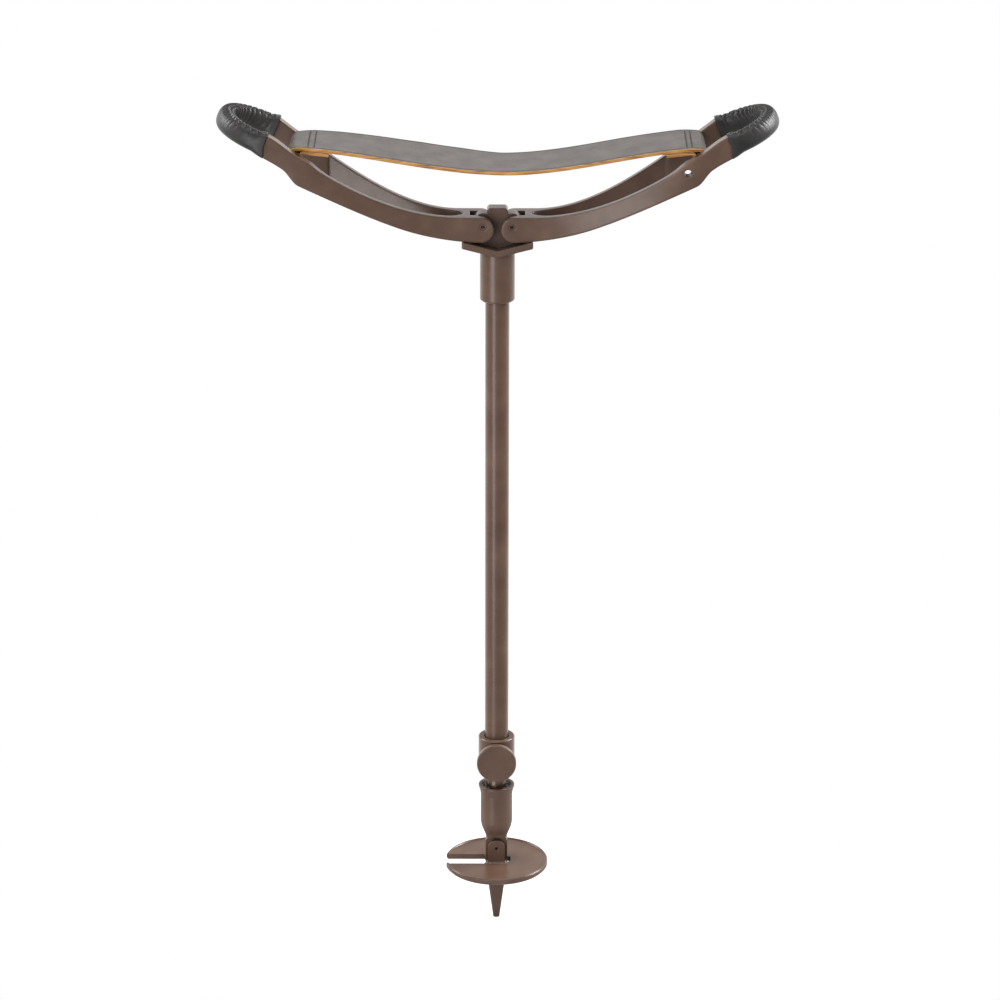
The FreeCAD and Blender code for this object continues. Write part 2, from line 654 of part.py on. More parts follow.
def make_clamp_knob():
    """A plain flat knob with bevelled rims and a short neck, blind on the screw."""
    body = new_body("clamp_knob", KNOB_HEIGHT)
    for radius, near, length in (
        ("Sizes.knob_neck_diameter / 2", KNOB_BACK, "Sizes.knob_neck_length + Sizes.knob_thickness / 2"),
        ("Sizes.knob_diameter / 2", f"{KNOB_BACK} + Sizes.knob_neck_length", "Sizes.knob_thickness"),
    ):
        sketch = new_sketch(body, "XZ_Plane")
        sketch.setExpression("AttachmentOffset.Base.z", near)
        add_circle(sketch, radius)
        pad(body, sketch, length)

    def rim(edge):
        return isinstance(edge.Curve, Part.Circle) and abs(
            edge.Curve.Radius - size("Sizes.knob_diameter / 2")
        ) < 0.01

    round_edges(body, "Sizes.knob_edge", rim, "Chamfer")
    socket = new_sketch(body, "XZ_Plane")
    socket.setExpression("AttachmentOffset.Base.z", KNOB_BACK)
    add_circle(socket, "Sizes.clamp_screw_diameter / 2")
    pocket(body, socket, "Sizes.knob_neck_length + Sizes.knob_thickness / 2", backwards=True)
    return body


# Hub: sleeve, stop plate, web and head block in one casting


def make_hub(wing_top):
    """The head casting: a sleeve on the main tube, a V-shaped stop plate, and a web for both pins.

    The top of the stop plate's wing tips is given as a height above the pins."""
    body = new_body("hub", PIVOT_HEIGHT)
    slope = "tan(Sizes.stop_slope * 1 deg)"
    centre_top = f"({wing_top} - Sizes.stop_half_width * {slope})"

    sleeve = new_sketch(body, "XY_Plane")
    sleeve.setExpression("AttachmentOffset.Base.z", "-Sizes.sleeve_drop")
    add_circle(sleeve, "Sizes.sleeve_diameter / 2")
    pad(body, sleeve, f"Sizes.sleeve_drop + {centre_top} - Sizes.stop_thickness / 2")
    round_edges(
        body,
        "Sizes.sleeve_chamfer",
        circle_at("-Sizes.sleeve_drop", "Sizes.sleeve_diameter / 2"),
        "Chamfer",
    )

    plate = new_sketch(body, "XZ_Plane")
    half = "Sizes.stop_half_width"
    thickness = "Sizes.stop_thickness"
    add_polygon(
        plate,
        [
            ("0", f"{centre_top} - {thickness}"),
            (half, f"{wing_top} - {thickness}"),
            (half, wing_top),
            ("0", centre_top),
            (f"-{half}", wing_top),
            (f"-{half}", f"{wing_top} - {thickness}"),
        ],
    )
    pad(body, plate, "2 * Sizes.stop_half_depth", symmetric=True)

    def wing_end(edge):
        box = edge.BoundBox
        at_tip = abs(abs(box.Center.x) - size(half)) < 0.01
        return at_tip and box.XLength < 0.01

    round_edges(body, "Sizes.stop_corner", wing_end)

    web = new_sketch(body, "XZ_Plane")
    head = "Sizes.head_half_width"
    crest = "Sizes.head_rise"
    bevel = "Sizes.head_chamfer"
    foot = "Sizes.web_foot_half_width"
    foot_height = f"{centre_top} + {foot} * {slope} - {thickness} / 2"
    waist = "Sizes.knuckle_radius * 0.75"
    add_polygon(
        web,
        [
            ("0", f"{centre_top} - {thickness} / 2"),
            (foot, foot_height),
            (f"Sizes.pin_half_spacing + {waist}", "-Sizes.knuckle_radius * 0.66"),
            ("Sizes.pin_half_spacing", "0"),
            (head, f"{crest} * 0.4"),
            (head, f"{crest} - {bevel}"),
            (f"{head} - {bevel}", crest),
            (f"{bevel} - {head}", crest),
            (f"-{head}", f"{crest} - {bevel}"),
            (f"-{head}", f"{crest} * 0.4"),
            ("-Sizes.pin_half_spacing", "0"),
            (f"-Sizes.pin_half_spacing - {waist}", "-Sizes.knuckle_radius * 0.66"),
            (f"-{foot}", foot_height),
        ],
    )
    pad(body, web, "Sizes.web_thickness", symmetric=True)
    for side in ("-1", "1"):
        knuckle = new_sketch(body, "XZ_Plane")
        add_circle(knuckle, "Sizes.knuckle_radius", f"{side} * Sizes.pin_half_spacing", "0")
        pad(body, knuckle, "Sizes.web_thickness", symmetric=True)

    pins = new_sketch(body, "XZ_Plane")
    for side in ("-1", "1"):
        add_circle(
            pins,
            "Sizes.hinge_pin_diameter / 2 + Sizes.pin_clearance",
            f"{side} * Sizes.pin_half_spacing",
            "0",
        )
    pocket(body, pins, "4 * Sizes.web_thickness", symmetric=True)

    bore = new_sketch(body, "XY_Plane")
    bore.setExpression("AttachmentOffset.Base.z", "-Sizes.sleeve_drop")
    add_circle(bore, SHAFT_RADIUS)
    pocket(body, bore, "Sizes.sleeve_drop - Sizes.pivot_rise", backwards=True)
    return body


# Frames: two stirrup-shaped castings
# A frame's own coordinates: out, away from the stick, and rise, both from its hinge pin.


def drawn_out(edges, half_width):
    """A side outline, drawn out by the same width to the front and the rear."""
    face = Part.Face(Part.Wire(Part.__sortEdges__(edges)))
    face.translate(Vector(0, -half_width, 0))
    return face.extrude(Vector(0, 2 * half_width, 0))


def direction(degrees):
    """A unit step along a slope in a frame's side view."""
    angle = math.radians(degrees)
    return Vector(math.cos(angle), 0, math.sin(angle))


def above(point, degrees, distance):
    """The point at a distance square to a slope, on its upper side."""
    step = direction(degrees + 90)
    return point + step * distance


def smooth_edges(knots):
    """Smooth edges through knots, each a point and the slope there in degrees."""
    edges = []
    for (start, start_slope), (end, end_slope) in zip(knots, knots[1:]):
        third = (end - start).Length / 3
        curve = Part.BezierCurve()
        curve.setPoles(
            [start, start + direction(start_slope) * third, end - direction(end_slope) * third, end]
        )
        edges.append(curve.toShape())
    return edges


def side_knots():
    """The knots of a frame's upper and lower edges in side view, up to the handle."""
    ear_radius = size("Sizes.ear_diameter / 2")
    ear = Vector(size("Sizes.ear_offset"), 0, -size("Sizes.ear_drop"))
    waist = Vector(size("Sizes.waist_reach"), 0, size("Sizes.waist_rise"))
    arm_slope = size("Sizes.arm_slope")
    arm = Vector(size("Sizes.arm_reach"), 0, size("Sizes.arm_rise"))
    arm_half = size("Sizes.arm_depth / 2")
    handle_slope = size("Sizes.handle_slope")
    handle = Vector(size("Sizes.handle_reach"), 0, size("Sizes.handle_rise"))
    handle_half = size("Sizes.handle_depth / 2")
    grip_slope = size("Sizes.grip_slope")
    grip = Vector(size("Sizes.bow_centre"), 0, size("Sizes.grip_rise"))
    grip_half = size("Sizes.grip_depth / 2 + Sizes.leather_thickness")
    overlap = size("Sizes.step_length")
    flat_end = Vector(size("Sizes.ear_length"), 0, ear.z + ear_radius)
    arm_end = above(arm, arm_slope, -arm_half)
    under_slope = size("Sizes.arm_under_slope")
    upper = [
        (ear + Vector(0, 0, ear_radius), 0),
        (flat_end, 0),
        (above(arm, arm_slope, arm_half), size("Sizes.arm_top_slope")),
        (
            above(handle, handle_slope, handle_half) - direction(handle_slope) * overlap * 0.7,
            size("Sizes.step_slope"),
        ),
        (above(handle, handle_slope, handle_half), handle_slope),
        (above(grip, grip_slope, grip_half), grip_slope),
    ]
    lower = [
        (ear - Vector(0, 0, ear_radius), 0),
        (waist, size("Sizes.waist_slope")),
        (arm_end, under_slope),
        (arm_end + direction(under_slope) * overlap, under_slope),
        (
            above(handle, handle_slope, -handle_half) + direction(handle_slope) * overlap * 0.5,
            size("Sizes.throat_slope"),
        ),
        (above(grip, grip_slope, -grip_half), handle_slope),
    ]
    return upper, lower


def lower_edge_rise(out):
    """The height of a frame's lower edge near its ear, at a distance from the pin."""
    _, lower = side_knots()
    edge = smooth_edges(lower[:2])[0]
    line = Part.makeLine(Vector(out, 0, -edge.Length), Vector(out, 0, edge.Length))
    return edge.distToShape(line)[1][0][0].z


def wing_tip_rise():
    """The stop plate's wing tips, just under the open frames, as a height above the pins."""
    edge_rise = lower_edge_rise(size("Sizes.stop_half_width - Sizes.pin_half_spacing"))
    return f"({edge_rise:.4f} - Sizes.stop_gap)"


def side_block():
    """A frame's side outline up to the handle, drawn out across its whole width."""
    upper, lower = side_knots()
    top, bottom = upper[0][0], lower[0][0]
    ear_inner = (top + bottom) * 0.5 - Vector((top.z - bottom.z) / 2, 0, 0)
    edges = [Part.Arc(bottom, ear_inner, top).toShape()]
    edges += smooth_edges(upper)
    edges.append(Part.makeLine(upper[-1][0], lower[-1][0]))
    edges += smooth_edges(lower)
    return drawn_out(edges, size("Sizes.handle_half_width * 1.2"))


def spread_curve(offset, start=0.0):
    """Half of the plan curve along which an arm spreads to the handle's width."""
    low = Vector(size("Sizes.ear_length"), size("Sizes.ear_half_width") + offset, 0)
    high = Vector(size("Sizes.spread_end"), size("Sizes.handle_half_width") + offset, 0)
    third = Vector((high.x - low.x) / 3, 0, 0)
    curve = Part.BezierCurve()
    curve.setPoles([low, low + third, high - third, high])
    if start:
        curve.segment(start, 1.0)
    return curve


def plan_prism(edges):
    """A tall prism on a plan outline: edges on the +Y side and their mirror images."""
    flipped = [edge.mirror(Vector(0, 0, 0), Vector(0, 1, 0)) for edge in edges]
    face = Part.Face(Part.Wire(Part.__sortEdges__(edges + flipped)))
    height = size("Sizes.bow_centre")
    face.translate(Vector(0, 0, -height / 2))
    return face.extrude(Vector(0, 0, 1.5 * height))


def outer_prism():
    """The plan outline of a frame, from behind its ears to past the handle's shoulder."""
    half = size("Sizes.ear_half_width")
    inner_end = -size("Sizes.ear_diameter")
    ear_end = Vector(size("Sizes.ear_length"), half, 0)
    wide = size("Sizes.handle_half_width")
    spread_end = Vector(size("Sizes.spread_end"), wide, 0)
    outer_end = Vector(size("Sizes.bow_centre"), wide, 0)
    edges = [
        Part.makeLine(Vector(inner_end, 0, 0), Vector(inner_end, half, 0)),
        Part.makeLine(Vector(inner_end, half, 0), ear_end),
        spread_curve(0).toShape(),
        Part.makeLine(spread_end, outer_end),
        Part.makeLine(outer_end, Vector(outer_end.x, 0, 0)),
    ]
    return plan_prism(edges)


def opening_prism():
    """The plan outline of the opening between the two arms, open at its outer end."""
    wall = size("Sizes.arm_wall")
    nose_out = size("Sizes.bridge_start + Sizes.bridge_thickness")
    spread = spread_curve(-wall, 0.1)
    start = spread.getPole(1)
    boss_out = size("Sizes.boss_start")
    wall_line = Part.makeLine(Vector(boss_out, 0, 0), Vector(boss_out, boss_out, 0))
    meeting = spread.toShape().distToShape(wall_line)[1][0][0]
    arm_curve = spread.copy()
    arm_curve.segment(0.0, spread.parameter(meeting))
    narrow = size("Sizes.handle_half_width - Sizes.handle_wall")
    boss = Vector(boss_out + (meeting.y - narrow), narrow, 0)
    outer_end = Vector(size("Sizes.bow_centre + Sizes.handle_wall"), narrow, 0)
    reach = start.x - nose_out
    nose = Part.BezierCurve()
    nose.setPoles(
        [
            Vector(nose_out, 0, 0),
            Vector(nose_out, start.y * 0.6, 0),
            Vector(nose_out + reach * 0.55, start.y * 0.93, 0),
            start,
        ]
    )
    edges = [
        nose.toShape(),
        arm_curve.toShape(),
        Part.makeLine(meeting, boss),
        Part.makeLine(boss, outer_end),
        Part.makeLine(outer_end, Vector(outer_end.x, 0, 0)),
    ]
    return plan_prism(edges)


def bow_point(turn, outward, upward):
    """A point of the bow: turned about its centre, offset in the handle's section."""
    slope = size("Sizes.grip_slope")
    centre = Vector(size("Sizes.bow_centre"), 0, size("Sizes.grip_rise"))
    radius = size("Sizes.handle_half_width - Sizes.handle_wall / 2") + outward
    reach = direction(slope) * math.cos(turn) + Vector(0, math.sin(turn), 0)
    return centre + reach * radius + direction(slope + 90) * upward


def bow_sweep(grow):
    """The handle's bow: a bevelled section turned through a half circle, with two straight legs."""
    half_width = size("Sizes.handle_wall / 2") + grow
    half_depth = size("Sizes.grip_depth / 2") + grow
    bevel = size("Sizes.grip_bevel") + grow * 0.6
    corners = [
        (half_width, half_depth - bevel),
        (half_width - bevel, half_depth),
        (bevel - half_width, half_depth),
        (-half_width, half_depth - bevel),
        (-half_width, bevel - half_depth),
        (bevel - half_width, -half_depth),
        (half_width - bevel, -half_depth),
        (half_width, bevel - half_depth),
    ]
    slope = size("Sizes.grip_slope")
    centre = Vector(size("Sizes.bow_centre"), 0, size("Sizes.grip_rise"))
    legs = direction(slope) * -size("Sizes.grip_leg")
    pieces = []
    for turn in (math.pi / 2, -math.pi / 2):
        points = [bow_point(turn, outward, upward) for outward, upward in corners]
        section = Part.Face(Part.makePolygon(points + points[:1]))
        pieces.append(section.extrude(legs))
    bend = section.revolve(centre, direction(slope + 90), 180)
    return pieces[0].fuse([pieces[1], bend]).removeSplitter()


def beyond_shoulder(gap):
    """The space outside the slanted shoulder at which the grip leather starts."""
    slope = size("Sizes.grip_slope")
    out = size("Sizes.leather_start") + gap
    rise = size("Sizes.grip_rise") + math.tan(math.radians(slope)) * (out - size("Sizes.bow_centre"))
    extent = size("Sizes.bow_centre")
    space = Part.makeBox(extent, 2 * extent, 2 * extent, Vector(0, -extent, -extent))
    space.rotate(Vector(0, 0, 0), Vector(0, 0, 1), size("Sizes.grip_skew"))
    space.rotate(Vector(0, 0, 0), Vector(0, 1, 0), -slope)
    space.translate(Vector(out, 0, rise))
    return space


def cross_cylinder(radius, half_length, out=0.0, rise=0.0):
    """A cylinder along Y, centred on the frame's middle."""
    return Part.makeCylinder(radius, 2 * half_length, Vector(out, -half_length, rise), Vector(0, 1, 0))


def frame_shape(with_cord_hole):
    """One frame in its own coordinates, opening towards +X."""
    block = outer_prism().common(side_block()).cut(opening_prism())
    slot_half = size(WEB_SLOT)
    ear = size("Sizes.ear_diameter")
    slot_length = ear + size("Sizes.bridge_start")
    slot = Part.makeBox(slot_length, 2 * slot_half, 4 * ear, Vector(-ear, -slot_half, -2 * ear))
    knuckle_room = cross_cylinder(size("Sizes.knuckle_radius + Sizes.knuckle_clearance"), slot_half)
    pin = cross_cylinder(size("Sizes.hinge_pin_diameter / 2"), size("Sizes.ear_half_width * 2"))
    bar_reach, bar_rise = size("Sizes.bar_reach"), size("Sizes.bar_rise")
    bar_half = size("Sizes.handle_half_width - Sizes.handle_wall + Sizes.bar_socket")
    bar = cross_cylinder(size("Sizes.bar_diameter / 2"), bar_half, bar_reach, bar_rise)
    block = block.cut([slot, knuckle_room, pin, bar, beyond_shoulder(0)])
    if with_cord_hole:
        depth = size("Sizes.handle_half_width * 1.5")
        start = Vector(size("Sizes.cord_hole_reach"), -depth, size("Sizes.cord_hole_rise"))
        radius = size("Sizes.cord_hole_diameter / 2")
        block = block.cut(Part.makeCylinder(radius, depth, start, Vector(0, 1, 0)))
    return block.fuse(bow_sweep(0)).removeSplitter()


def leather_shape():
    """The grip leather: a closed skin round the bow of the handle."""
    gap = size("Sizes.leather_gap")
    skin = bow_sweep(gap + size("Sizes.leather_thickness")).cut(bow_sweep(gap))
    return skin.common(beyond_shoulder(gap))


def thread_stitch(start, end):
    """One stitch of lacing: a six-sided length of thread between two points."""
    along = (end - start).normalize()
    turned = FreeCAD.Rotation(Vector(0, 0, 1), along)
    radius = size("Sizes.lacing_diameter / 2")
    points = []
    for corner in range(7):
        angle = corner * math.pi / 3
        across = Vector(radius * math.cos(angle), radius * math.sin(angle), 0)
        points.append(start + turned.multVec(across))
    return Part.Face(Part.makePolygon(points)).extrude(end - start)


def lacing_shape():
    """Slanted stitches of thread along the inner upper edge of the bow."""
    count = int(size("Sizes.lacing_stitches"))
    lift = size("Sizes.leather_thickness + Sizes.leather_gap + Sizes.lacing_diameter / 2") + 0.1
    bevel_out = -size("Sizes.handle_wall / 2") - lift
    bevel_up = size("Sizes.grip_depth / 2") + lift
    along_bevel = size("Sizes.grip_bevel") + lift * 0.6
    stitches = []
    for number in range(count):
        turn = math.pi * (number + 0.5) / count - math.pi / 2
        lean = 0.3 * math.pi / count
        start = bow_point(turn - lean, bevel_out, bevel_up - along_bevel)
        end = bow_point(turn + lean, bevel_out + along_bevel, bevel_up)
        stitches.append(thread_stitch(start, end))
    return Part.makeCompound(stitches)


def add_shape(label, shape, side):
    """A sub-part with a computed shape, placed at its frame's pin on one side of the stick."""
    if side < 0:
        shape = shape.mirror(Vector(0, 0, 0), Vector(1, 0, 0))
    feature = doc.addObject("Part::Feature", label)
    feature.Label = label
    feature.Shape = shape
    feature.Placement.Base = Vector(side * size("Sizes.pin_half_spacing"), 0, size(PIVOT_HEIGHT))
    return feature


# Seat strap: one leather band sewn round both strap bars


def band_under(curve, high, low, half_width):
    """The part of the strap between two depths under a curve."""
    edges = []
    for depth in (high, low):
        edge = curve.toShape()
        edge.translate(Vector(0, 0, -depth))
        edges.append(edge)
    for end in (curve.StartPoint, curve.EndPoint):
        edges.append(Part.makeLine(end - Vector(0, 0, high), end - Vector(0, 0, low)))
    return drawn_out(edges, half_width)


def strap_shape():
    """The strap: a sagging band with each end turned back round its bar and sewn underneath."""
    bar_x = size("Sizes.pin_half_spacing + Sizes.bar_reach")
    bar_z = size(f"{PIVOT_HEIGHT} + Sizes.bar_rise")
    inner = size("Sizes.bar_diameter / 2 + Sizes.strap_gap")
    end_thickness = size("Sizes.strap_end_thickness")
    outer = inner + end_thickness
    thickness = size("Sizes.strap_thickness")
    full = thickness + end_thickness
    half_width = size("Sizes.strap_width") / 2
    dip = Vector(size("Sizes.strap_dip_offset"), 0, bar_z + outer - size("Sizes.strap_dip"))
    pieces = []
    for side in (-1, 1):
        bar = Vector(side * bar_x, 0, bar_z)
        crest = bar + Vector(-side * size("Sizes.strap_crest"), 0, outer)
        third = Vector((dip.x - crest.x) / 3, 0, 0)
        fall = Vector(0, 0, -math.tan(math.radians(size("Sizes.strap_end_slope"))) * third.Length)
        curve = Part.BezierCurve()
        curve.setPoles([crest, crest + third + fall, dip - third, dip])
        pieces.append(band_under(curve, 0, thickness, half_width))
        lap = curve.copy()
        lap.segment(0.0, size("Sizes.strap_lap") / abs(dip.x - crest.x))
        pieces.append(band_under(lap, thickness - size("Sizes.strap_bond"), full, half_width))
        loop_top = bar + Vector(0, 0, outer)
        loop_bottom = bar - Vector(0, 0, outer)
        crest_bottom = crest - Vector(0, 0, full)
        corners = [loop_top, crest, crest_bottom, loop_bottom, loop_top]
        edges = [Part.makeLine(*ends) for ends in zip(corners, corners[1:])]
        loop = cross_cylinder(outer, half_width, bar.x, bar.z).fuse(drawn_out(edges, half_width))
        pieces.append(loop.cut(cross_cylinder(inner, half_width, bar.x, bar.z)))
    return pieces[0].fuse(pieces[1:]).removeSplitter()


def main():
    """Builds every sub-part, checks it and writes it to its own file."""
    parts = [
        make_ferrule(),
        make_spike(),
        make_ground_disc(),
        make_inner_tube(),
        make_inner_tube_plug(),
        make_shaft_tube(),
        make_shaft_bush(),
        make_clamp_collar(),
        make_clamp_pad(),
        make_clamp_screw(),
        make_clamp_knob(),
        make_hub(wing_tip_rise()),
        pin_body(
            "foot_pin",
            "Sizes.foot_pin_diameter",
            "Sizes.foot_pin_bore",
            DISC_EAR_OUTER,
            "0",
            "Sizes.foot_pin_height",
        ),
    ]
    grip = leather_shape()
    lacing = lacing_shape()
    for name, side in (("left", -1), ("right", 1)):
        parts.append(add_shape(f"{name}_frame", frame_shape(side > 0), side))
        parts.append(add_shape(f"{name}_grip", grip, side))
        parts.append(add_shape(f"{name}_grip_lacing", lacing, side))
        parts.append(
            pin_body(
                f"{name}_hinge_pin",
                "Sizes.hinge_pin_diameter",
                "Sizes.hinge_pin_bore",
                "Sizes.ear_half_width - Sizes.hinge_pin_recess",
                f"{side} * Sizes.pin_half_spacing",
                PIVOT_HEIGHT,
            )
        )
        bar = new_body(f"{name}_strap_bar", f"{PIVOT_HEIGHT} + Sizes.bar_rise")
        bar.setExpression("Placement.Base.x", f"{side} * (Sizes.pin_half_spacing + Sizes.bar_reach)")
        sketch = new_sketch(bar, "XZ_Plane")
        add_circle(sketch, "Sizes.bar_diameter / 2")
        bar_half = "(Sizes.handle_half_width - Sizes.handle_wall + Sizes.bar_socket)"
        pad(bar, sketch, f"2 * {bar_half}", symmetric=True)
        parts.append(bar)
    strap = doc.addObject("Part::Feature", "seat_strap")
    strap.Label = "seat_strap"
    strap.Shape = strap_shape()
    parts.append(strap)

    doc.recompute()
    for item in doc.Objects:
        if {"Invalid", "Error"} & set(item.State):
            raise ValueError(f"{item.Label} failed: {item.State}")
    os.makedirs("parts", exist_ok=True)
    for part in parts:
        shape = part.Shape
        if shape.isNull() or not shape.isValid():
            raise ValueError(f"{part.Label} has no valid shape")
        shape.exportStep(f"parts/{part.Label}.step")
        print(f"{part.Label}: {shape.Volume:.0f} mm3, {len(shape.Solids)} solid(s)")


main()
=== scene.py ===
import math

import bpy
import numpy as np
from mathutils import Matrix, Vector


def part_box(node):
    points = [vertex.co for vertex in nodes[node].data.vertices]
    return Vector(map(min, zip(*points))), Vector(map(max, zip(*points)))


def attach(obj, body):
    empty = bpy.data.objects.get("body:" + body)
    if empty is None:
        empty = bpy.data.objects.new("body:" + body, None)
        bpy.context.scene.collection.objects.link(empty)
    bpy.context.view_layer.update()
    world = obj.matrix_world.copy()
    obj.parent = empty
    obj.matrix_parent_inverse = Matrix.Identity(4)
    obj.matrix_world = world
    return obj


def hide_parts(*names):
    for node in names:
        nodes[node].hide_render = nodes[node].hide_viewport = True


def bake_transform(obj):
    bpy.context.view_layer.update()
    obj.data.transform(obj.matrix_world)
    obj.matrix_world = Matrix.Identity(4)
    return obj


# The looks of the walking stick seat: painted castings and tubes straight from the CAD solids,
# and a leather strap, laced leather grips and their stitching built over the plain soft solids.
# Metres, in the row's frame: +Z up along the stick, -Y towards the camera.

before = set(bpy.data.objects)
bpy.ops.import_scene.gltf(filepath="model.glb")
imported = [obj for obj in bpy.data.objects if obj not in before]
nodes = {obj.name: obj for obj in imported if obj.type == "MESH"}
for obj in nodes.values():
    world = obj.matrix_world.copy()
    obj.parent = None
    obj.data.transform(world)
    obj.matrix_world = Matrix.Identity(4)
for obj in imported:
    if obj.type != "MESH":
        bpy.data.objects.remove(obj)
scene = bpy.context.scene
rng = np.random.default_rng(11)
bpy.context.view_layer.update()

# Where the frames and the strap bars are, worked out from the CAD nodes.


def middle_of(node):
    """The centre of a node's box."""
    low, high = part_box(node)
    return (Vector(low) + Vector(high)) / 2


PIVOT = middle_of("right_hinge_pin")
BAR = middle_of("right_strap_bar")
BAR_RADIUS = (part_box("right_strap_bar")[1][2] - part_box("right_strap_bar")[0][2]) / 2


# Materials


def new_material(name):
    """An empty node material: its tree and its shader."""
    material = bpy.data.materials.new(name)
    material.use_nodes = True
    tree = material.node_tree
    return material, tree, tree.nodes["Principled BSDF"]


def add(tree, kind, **values):
    """Adds a shader node and sets its inputs and properties by name."""
    node = tree.nodes.new(kind)
    for key, value in values.items():
        if hasattr(node, key):
            setattr(node, key, value)
        else:
            node.inputs[key.replace("_", " ")].default_value = value
    return node


def link(tree, source, target):
    """Joins an output socket to an input socket."""
    tree.links.new(source, target)


def linear(red, green, blue):
    """A linear colour from an 8-bit screen colour."""
    out = []
    for value in (red, green, blue):
        share = value / 255
        out.append(share / 12.92 if share <= 0.04045 else ((share + 0.055) / 1.055) ** 2.4)
    return tuple(out)


def ramp(tree, factor, stops):
    """A colour ramp on a factor; each stop is a place and a linear colour."""
    node = tree.nodes.new("ShaderNodeValToRGB")
    elements = node.color_ramp.elements
    while len(elements) < len(stops):
        elements.new(0.5)
    for element, (place, colour) in zip(elements, stops):
        element.position = place
        element.color = (*colour, 1)
    link(tree, factor, node.inputs["Fac"])
    return node.outputs["Color"]


def spread(tree, value, low, high):
    """Maps a 0 to 1 value to a range."""
    node = add(tree, "ShaderNodeMapRange", To_Min=low, To_Max=high)
    link(tree, value, node.inputs["Value"])
    return node.outputs["Result"]


def noise(tree, scale, detail, squeeze=None):
    """Noise in object space, stretched where squeeze gives a scale for each axis."""
    place = add(tree, "ShaderNodeTexCoord").outputs["Object"]
    if squeeze:
        stretch = add(tree, "ShaderNodeMapping", Scale=squeeze)
        link(tree, place, stretch.inputs["Vector"])
        place = stretch.outputs["Vector"]
    node = add(tree, "ShaderNodeTexNoise", Scale=scale, Detail=detail)
    link(tree, place, node.inputs["Vector"])
    return node.outputs["Fac"]


def mix_colour(tree, factor, first, second):
    """Mixes two colours; each is an output socket or a linear colour."""
    mix = add(tree, "ShaderNodeMix", data_type="RGBA")
    link(tree, factor, mix.inputs["Factor"])
    for slot, colour in (("A", first), ("B", second)):
        if isinstance(colour, tuple):
            mix.inputs[slot].default_value = (*colour, 1)
        else:
            link(tree, colour, mix.inputs[slot])
    return mix.outputs["Result"]


def bump(tree, height, strength, distance, normal=None):
    """A bump from a height, on top of another normal where one is given."""
    node = add(tree, "ShaderNodeBump", Strength=strength, Distance=distance)
    link(tree, height, node.inputs["Height"])
    if normal:
        link(tree, normal, node.inputs["Normal"])
    return node.outputs["Normal"]


ENAMEL_MOTTLE = [
    (0.30, linear(95, 71, 58)),
    (0.52, linear(105, 80, 66)),
    (0.75, linear(117, 91, 77)),
]
WORN_ENAMEL = linear(176, 160, 150)
# Painted shade: crevices and recesses are darkened towards this near-black brown, out to this reach in
# metres.
CREVICE_PAINTED_SHADE = linear(34, 26, 22)
PAINTED_SHADE_REACH = 0.030


def edge_wear(tree, rounded):
    """How much the paint is rubbed, 0 to 0.12, where the rounded normal leaves the flat one."""
    flat = add(tree, "ShaderNodeNewGeometry").outputs["Normal"]
    turn = add(tree, "ShaderNodeVectorMath", operation="DOT_PRODUCT")
    link(tree, rounded, turn.inputs[0])
    link(tree, flat, turn.inputs[1])
    worn = add(tree, "ShaderNodeMapRange", From_Min=0.93, From_Max=0.78, To_Min=0.0, To_Max=0.12)
    link(tree, turn.outputs["Value"], worn.inputs["Value"])
    rub = add(tree, "ShaderNodeMath", operation="MULTIPLY")
    link(tree, worn.outputs["Result"], rub.inputs[0])
    link(tree, spread(tree, noise(tree, 120.0, 3.0), 0.2, 1.3), rub.inputs[1])
    return rub.outputs["Value"]


def painted_shade_factor(tree):
    """Painted shade: 1 on an open face, falling to 0.45 in a crevice or recess, from ambient occlusion.
    """
    corner = add(tree, "ShaderNodeAmbientOcclusion", samples=8, Distance=PAINTED_SHADE_REACH)
    share = add(tree, "ShaderNodeMapRange", From_Min=0.35, From_Max=0.85, To_Min=0.45, To_Max=1.0)
    link(tree, corner.outputs["AO"], share.inputs["Value"])
    return share.outputs["Result"]


def painted_metal(name, edge_radius):
    """Brown enamel: mottling, orange peel, painted shade darkening its crevices, and worn, rounded
    edges.
    """
    material, tree, shader = new_material(name)
    mottled = ramp(tree, noise(tree, 38.0, 5.0), ENAMEL_MOTTLE)
    rounded = add(tree, "ShaderNodeBevel", samples=8, Radius=edge_radius).outputs["Normal"]
    rubbed = mix_colour(tree, edge_wear(tree, rounded), mottled, WORN_ENAMEL)
    # Painted shade: the colour darkens towards near-black brown in crevices and recesses.
    colour = mix_colour(tree, painted_shade_factor(tree), CREVICE_PAINTED_SHADE, rubbed)
    link(tree, colour, shader.inputs["Base Color"])
    link(tree, spread(tree, noise(tree, 90.0, 3.0), 0.28, 0.38), shader.inputs["Roughness"])
    peel = bump(tree, noise(tree, 450.0, 1.0), 0.05, 0.0003, rounded)
    link(tree, peel, shader.inputs["Normal"])
    shader.inputs["Coat Weight"].default_value = 0.3
    shader.inputs["Coat Roughness"].default_value = 0.26
    return material


def bare_metal(name, tint, roughness):
    """Bare metal with fine lines drawn along the stick."""
    material, tree, shader = new_material(name)
    lines = noise(tree, 1.0, 4.0, (900.0, 900.0, 22.0))
    link(tree, spread(tree, lines, roughness * 0.7, roughness * 1.3), shader.inputs["Roughness"])
    link(tree, bump(tree, lines, 0.06, 0.0002), shader.inputs["Normal"])
    shader.inputs["Base Color"].default_value = (*tint, 1)
    shader.inputs["Metallic"].default_value = 1.0
    return material


def plain_plastic():
    """Black moulded plastic for the hidden plug, bush and pad."""
    material, tree, shader = new_material("black_plastic")
    link(tree, bump(tree, noise(tree, 1500.0, 2.0), 0.2, 0.0002), shader.inputs["Normal"])
    shader.inputs["Base Color"].default_value = (*linear(38, 37, 37), 1)
    shader.inputs["Roughness"].default_value = 0.5
    return material


PRESSED_SHADE = 0.35


